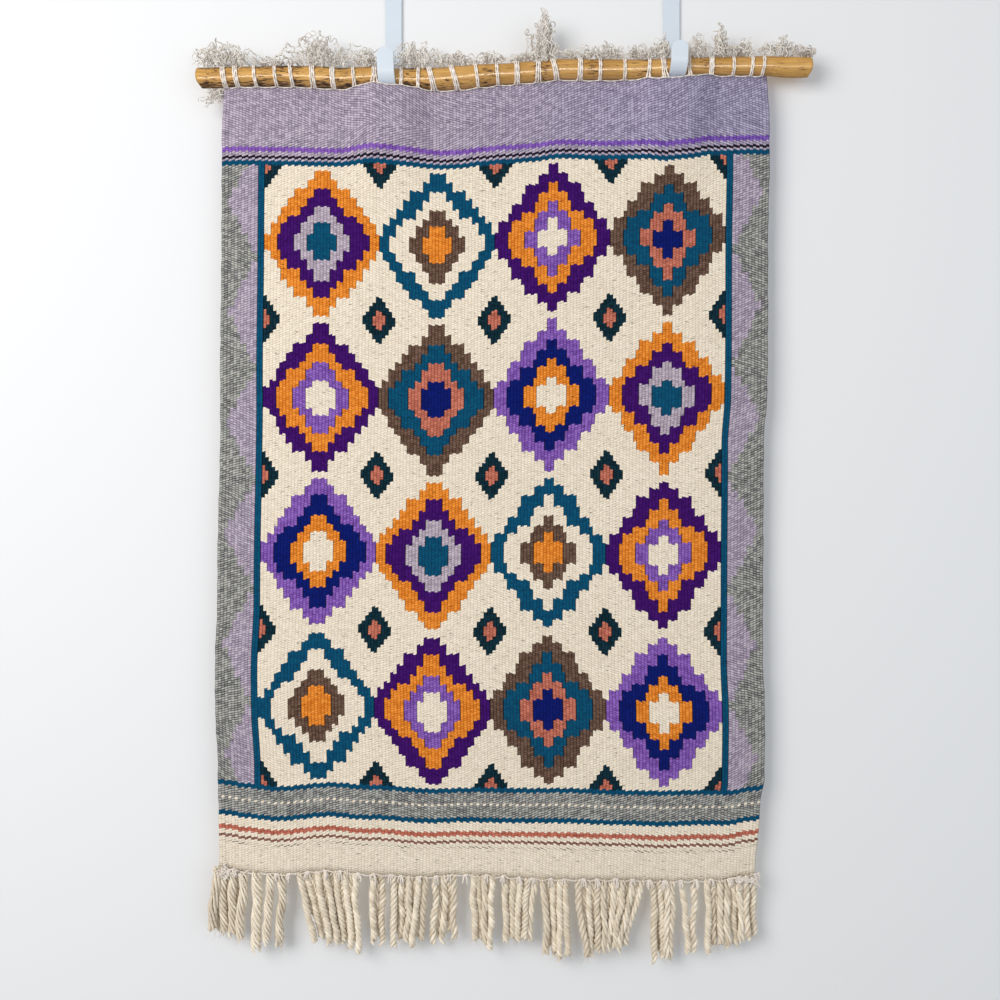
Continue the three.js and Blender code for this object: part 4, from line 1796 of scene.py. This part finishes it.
@dataclass(frozen=True)
class WarpEnds:
    """The panel's cotton warp ends that stand up in kinked tufts above the stick."""

    stick: Stick
    # Each tuft: its middle, half width and height above the stick.
    tufts: tuple[Row, ...] = (
        (-307, 29, 26), (-253, 19, 10), (-203, 28, 37), (-147, 10, 17), (-99, 20, 29),
        (-58, 23, 15), (-15, 13, 14), (17, 14, 7), (42.5, 11, 51), (78, 16, 10),
        (112, 12, 16), (146, 15, 17), (172, 10, 22), (210, 11, 25), (235, 6, 33),
        (258, 14, 21), (304, 19, 18), (327, 10, 7),
    )

    def build(self, finish: bpy.types.Material) -> bpy.types.Object:
        """Make the tufts.

        Args:
            finish: the cotton.

        Returns:
            The finished piece.
        """
        work = YarnWork(
            "warp_curls", strands=1, twist=10, lay=1.5, radius=0.55, step=1.3, sides=4,
            stray=2.4,
        )
        piece = work.build([*self._tuft_runs(), *self._wisp_runs()], finish)
        return finished(piece, "cotton_warp", ["warp_ends"])

    def _tuft_runs(self) -> Iterable[Run]:
        """Grow the threads of each tuft.

        Returns:
            One run for each thread.
        """
        random = np.random.default_rng(21)
        for middle, half, high in self.tufts:
            for _ in range(int(11 + half * 1.0 + high * 0.62)):
                lean = float(np.clip(random.normal(0, 0.55), -1.2, 1.2))
                x = middle + half * lean * 0.9
                crest = sum(self.stick.at(x))
                tall = high * (1 - 0.5 * abs(lean)) * random.uniform(0.35, 1.1)
                side = half * random.normal(0.4 * lean, 0.5)
                depth = random.uniform(-8, 5)
                front = depth < -4
                bow = random.uniform(0.35, 1.0) + front * random.uniform(1.1, 1.4)
                points = [(x, depth, crest + 0.5)]
                for share in (0.2, 0.4, 0.6, 0.8, 1.0):
                    rise = math.sin(share * math.pi * (0.5 + 0.28 * bow))
                    points.append((
                        x + side * share + random.normal(0, 1.6),
                        depth + random.normal(0, 1.4) + (-6 if front else 1.5) * share,
                        crest + 0.8 + max(tall * rise, -5.5),
                    ))
                yield self._thread(random, points)

    def _wisp_runs(self) -> Iterable[Run]:
        """Hang the loose wisps below the stick's left end, by the panel's corner.

        Returns:
            One run for each thread.
        """
        random = np.random.default_rng(4)
        for _ in range(20):
            x = random.uniform(-331, -306)
            z = random.uniform(-19, -15)
            points = [(-303 - random.uniform(0, 4), random.uniform(-3, 3), -17)]
            for share in (0.3, 0.6, 1.0):
                points.append((
                    points[0][0] + (x - points[0][0]) * share + random.normal(0, 1.5),
                    random.uniform(-4, 4),
                    z - random.uniform(3, 17) * share,
                ))
            yield self._thread(random, points)

    @staticmethod
    def _thread(random: np.random.Generator, points: Sequence[Row]) -> Run:
        """Turn a thread's points into a run that is thinnest where it starts.

        Args:
            random: the source of its kinks.
            points: the points that it passes.

        Returns:
            The run.
        """
        path = flowing(points, 5)
        path[:, 0] = np.clip(path[:, 0], -335.5, 335.5)
        path[:, 1] = np.clip(path[:, 1], -12, 10)
        thick = random.uniform(0.7, 1.15) * np.ones(len(path))
        thick[:3] = thick[:3] * (0.5, 0.7, 0.9)
        turns = random.choice([-1.0, 1.0]) * random.uniform(0.6, 1.5)
        return Run(path, thick, turns, random.random(), random.uniform(0.6, 1.7))


@dataclass(frozen=True)
class Lashings:
    """The turns of cotton that bind the panel's top edge to the stick."""

    cloth: Cloth
    # Each turn: its middle, and how far its foot lies to the right of its top.
    turns: tuple[Row, ...] = (
        (-304.2, 3), (-290.9, 3), (-270.5, 2.4), (-248.2, 1.8), (-230.9, 3.2),
        (-207.6, 1.9), (-185.8, 1.2), (-163.1, 1.9), (-140.4, 0.6), (-111.2, 0),
        (-92.9, -0.8), (-79.1, 6.6), (-54.8, 7.6), (-30, 3.6), (-7.6, 2.2), (14, 1.1),
        (37.1, 0), (54.4, 5.6), (82.6, 0), (104.3, 0), (130.8, 0), (157.1, -2.2),
        (173, 1.6), (200.6, 0), (224.9, 0), (249, 0), (269.1, -1.2), (281.6, -2),
    )

    def build(self, finish: bpy.types.Material) -> bpy.types.Object:
        """Make the turns and the thread along the top hem.

        Args:
            finish: the cotton.

        Returns:
            The finished piece.
        """
        work = YarnWork(
            "lashing_threads", strands=2, twist=16, lay=0.4, radius=0.6, step=1.5, sides=6,
            stray=0.25,
        )
        piece = work.build([*self._turn_runs(), *self._hem_runs()], finish)
        nodes = [f"lashing_{i + 1:02d}" for i in range(len(self.turns))]
        return finished(piece, "cotton_lashing", nodes)

    def _turn_runs(self) -> Iterable[Run]:
        """Lay each turn's threads round the stick and down to the hem.

        Returns:
            Two or three runs for each turn.
        """
        random = np.random.default_rng(3)
        stick = self.cloth.stick
        for middle, slant in self.turns:
            axis, radius = stick.at(middle)
            radius += 0.9
            foot_x = middle + slant / 2
            foot_y, foot_z = self.cloth.spot(self.cloth.top, foot_x)
            start = math.atan2(foot_z - axis, foot_y)
            count = int(random.integers(2, 4))
            for thread in range(count):
                beside = (thread - (count - 1) / 2) * 1.9
                split = random.choice([1.0, 1.0, 2.0])
                points = [(foot_x + beside * split, foot_y - 1.2, foot_z - 0.5)]
                for turn in np.linspace(-0.35, -2 * np.pi + 0.35, 22):
                    angle = start + turn
                    up = math.sin(angle)
                    points.append((
                        middle + beside * (1 + 0.3 * (split - 1) * max(0, -up)) - slant * up / 2
                        + random.uniform(-0.15, 0.15),
                        radius * math.cos(angle),
                        axis + radius * up,
                    ))
                points.append((foot_x + beside, foot_y + 1.2, foot_z - 0.5))
                path = flowing(points, 3)
                thick = np.full(len(path), random.uniform(0.85, 1.1))
                yield Run(path, thick, 1.0, random.random())

    def _hem_runs(self) -> Iterable[Run]:
        """Lay the thread that runs along the top hem from foot to foot.

        Returns:
            One run for each gap.
        """
        feet = [middle + slant / 2 for middle, slant in self.turns]
        for a, b in zip(feet[:-1], feet[1:]):
            points = []
            for share in (0, 0.2, 0.4, 0.6, 0.8, 1):
                x = a + (b - a) * share
                y, z = self.cloth.spot(self.cloth.top, x)
                points.append((x, y - 1.3, z + 0.3 - 1.4 * math.sin(math.pi * share)))
            path = flowing(points, 3)
            yield Run(path, np.full(len(path), 0.6), 1.0, a % 1)


# ---------------------------------------------------------------- studio


@dataclass(frozen=True)
class Studio:
    """A white wall just behind the hooks, a pale floor, soft lamps and the camera."""

    wall_depth: float = 22.5
    wall_top: float = 111.0
    half_width: float = 2400.0
    floor: float = -1450.0
    floor_front: float = -3200.0
    floor_depth: float = 6000.0
    # What the lamps look at: the middle of the cloth.
    target: tuple[float, float, float] = (0.0, 0.0, -430.0)
    eye: tuple[float, float, float] = (-4.4, -1180.0, -464.3)
    lens: float = 38.95
    # How bright the world is to the object, and to the camera.
    ambient: float = 0.48
    backdrop: float = 0.93

    def build(self) -> None:
        """Make the stage, the lamps, the world and the camera."""
        side = (2 * self.half_width, 0, 0)
        rise = (0, 0, self.wall_top - self.floor)
        back_corner = (-self.half_width, self.wall_depth, self.floor)
        front_corner = (-self.half_width, self.floor_front, self.floor)
        self._plane("wall", back_corner, side, rise, "#e1e2e4")
        self._plane("floor", front_corner, side, (0, self.floor_depth, 0), "#efefee")
        soft = [
            self._lamp(
                "key", place=(-1300, -1750, 200), size=(1300, 1300), power=39,
                tint=(1.0, 0.98, 0.95),
            ),
            self._lamp(
                "fill", place=(1300, -2100, -300), size=(1800, 1800), power=11,
                tint=(0.8, 0.91, 1.0),
            ),
        ]
        strip = self._lamp(
            "strip", place=(0, -1900, -420), size=(2400, 220), power=36,
            tint=(1.0, 0.88, 0.72),
        )
        strip.visible_diffuse = False
        back = self._lamp(
            "back", place=(300, 1900, 300), size=(1600, 1600), power=22, tint=(1.0, 1.0, 1.0)
        )
        for lamp in (*soft, back):
            lamp.visible_glossy = False
        self._world()
        camera = bpy.data.cameras.new("camera")
        camera.lens, camera.sensor_width = self.lens, 36
        holder = bpy.data.objects.new("camera", camera)
        holder.location = Vector(self.eye) * MM
        holder.rotation_euler = (math.pi / 2, 0, 0)
        bpy.context.scene.collection.objects.link(holder)
        bpy.context.scene.camera = holder
        bpy.context.scene.view_settings.view_transform = "Standard"

    def _plane(self, name: str, corner: Row, right: Row, up: Row, code: str) -> None:
        """Make a stage plane that only the camera sees, and only from its front.

        Args:
            name: the plane's name.
            corner: its first corner.
            right: its first side.
            up: its second side.
            code: its colour.
        """
        a, r, u = (np.array(v, dtype=float) for v in (corner, right, up))
        points = np.array([a, a + r, a + r + u, a + u])
        piece = mesh_piece(name, points, [(0, 1, 2, 3)], smooth=False)
        material, tree, shader = start_material(name)
        shader.inputs["Base Color"].default_value = linear(code)
        shader.inputs["Roughness"].default_value = 1.0
        shader.inputs["Specular IOR Level"].default_value = 0.0
        ray = add_node(tree, "ShaderNodeLightPath", {}, {})
        back = add_node(tree, "ShaderNodeNewGeometry", {}, {}).outputs["Backfacing"]
        seen = Signal(tree, ray.outputs["Is Camera Ray"]) * (Signal(tree, back) * -1 + 1)
        clear = add_node(tree, "ShaderNodeBsdfTransparent", {}, {})
        mix = add_node(
            tree,
            "ShaderNodeMixShader",
            {},
            {0: seen, 1: clear.outputs[0], 2: shader.outputs[0]},
        )
        tree.links.new(mix.outputs[0], tree.nodes["Material Output"].inputs["Surface"])
        piece.data.materials.append(material)

    def _lamp(
        self, name: str, place: Row, size: Row, power: float, tint: Row
    ) -> bpy.types.Object:
        """Hang a soft lamp that looks at the middle of the cloth.

        Args:
            name: the lamp's name.
            place: where it hangs.
            size: its width and height.
            power: its power in watts.
            tint: its colour in linear light.

        Returns:
            The lamp.
        """
        data = bpy.data.lights.new(name, "AREA")
        data.shape, data.color = "RECTANGLE", tint
        data.size, data.size_y, data.energy = size[0] * MM, size[1] * MM, power
        lamp = bpy.data.objects.new(name, data)
        lamp.location = Vector(place) * MM
        aim = Vector(self.target) * MM - lamp.location
        lamp.rotation_euler = aim.to_track_quat("-Z", "Y").to_euler()
        bpy.context.scene.collection.objects.link(lamp)
        return lamp

    def _world(self) -> None:
        """Light everything softly, and show white behind it."""
        world = bpy.data.worlds.new("studio")
        world.use_nodes = True
        tree = world.node_tree
        ray = add_node(tree, "ShaderNodeLightPath", {}, {})
        seen = Signal(tree, ray.outputs["Is Camera Ray"])
        level = seen * (self.backdrop - self.ambient) + self.ambient
        level = level - Signal(tree, ray.outputs["Is Glossy Ray"]) * self.ambient * 0.7
        tree.links.new(level.socket, tree.nodes["Background"].inputs["Strength"])
        tree.nodes["Background"].inputs["Color"].default_value = (1, 1, 1, 1)
        bpy.context.scene.world = world


# ---------------------------------------------------------------- the whole piece


def main(frame: dict[str, Any]) -> None:
    """Dress the frame.
    """
    logging.basicConfig(level=logging.INFO, format="%(name)s: %(message)s")
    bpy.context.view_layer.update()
    LOG.info("frame: %d nodes", len(frame["nodes"]))
    Studio().build()

    stick = Stick()
    stick.build(VarnishedStick())
    coat = PowderCoat().material()
    hooks = (
        StrapHook("hook_left", x=-122.4, skew=-4.9),
        StrapHook("hook_right", x=185.7, skew=2.8, plate=16.0, lift=-5.0),
    )
    for hook in hooks:
        hook.build(stick, coat)

    chart = Chart()
    cloth = Cloth(stick, hooks, chart)
    panel = cloth.build(WovenWool(chart))
    wool = SpunYarn(
        "fringe_wool", light="#fdf3e1", dark="#bdad95", roughness=0.95, sheen=0.1, fibre=1.2
    ).material()
    white = SpunYarn(
        "lashing_cotton", light="#f8f1ea", dark="#e2d6ca", roughness=0.85, sheen=0.05, fibre=0.8
    ).material()
    warp = SpunYarn(
        "warp_cotton", light="#fbf7f1", dark="#bbb1a5", roughness=0.9, sheen=0.05, fibre=0.8
    ).material()
    fringe = Fringe(cloth).build(wool, white)
    WarpEnds(stick).build(warp)
    lashings = Lashings(cloth).build(white)
    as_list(fringe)
    LOG.info("lashings: %s", lashings.name)


if __name__ == "__main__":
    main(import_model())
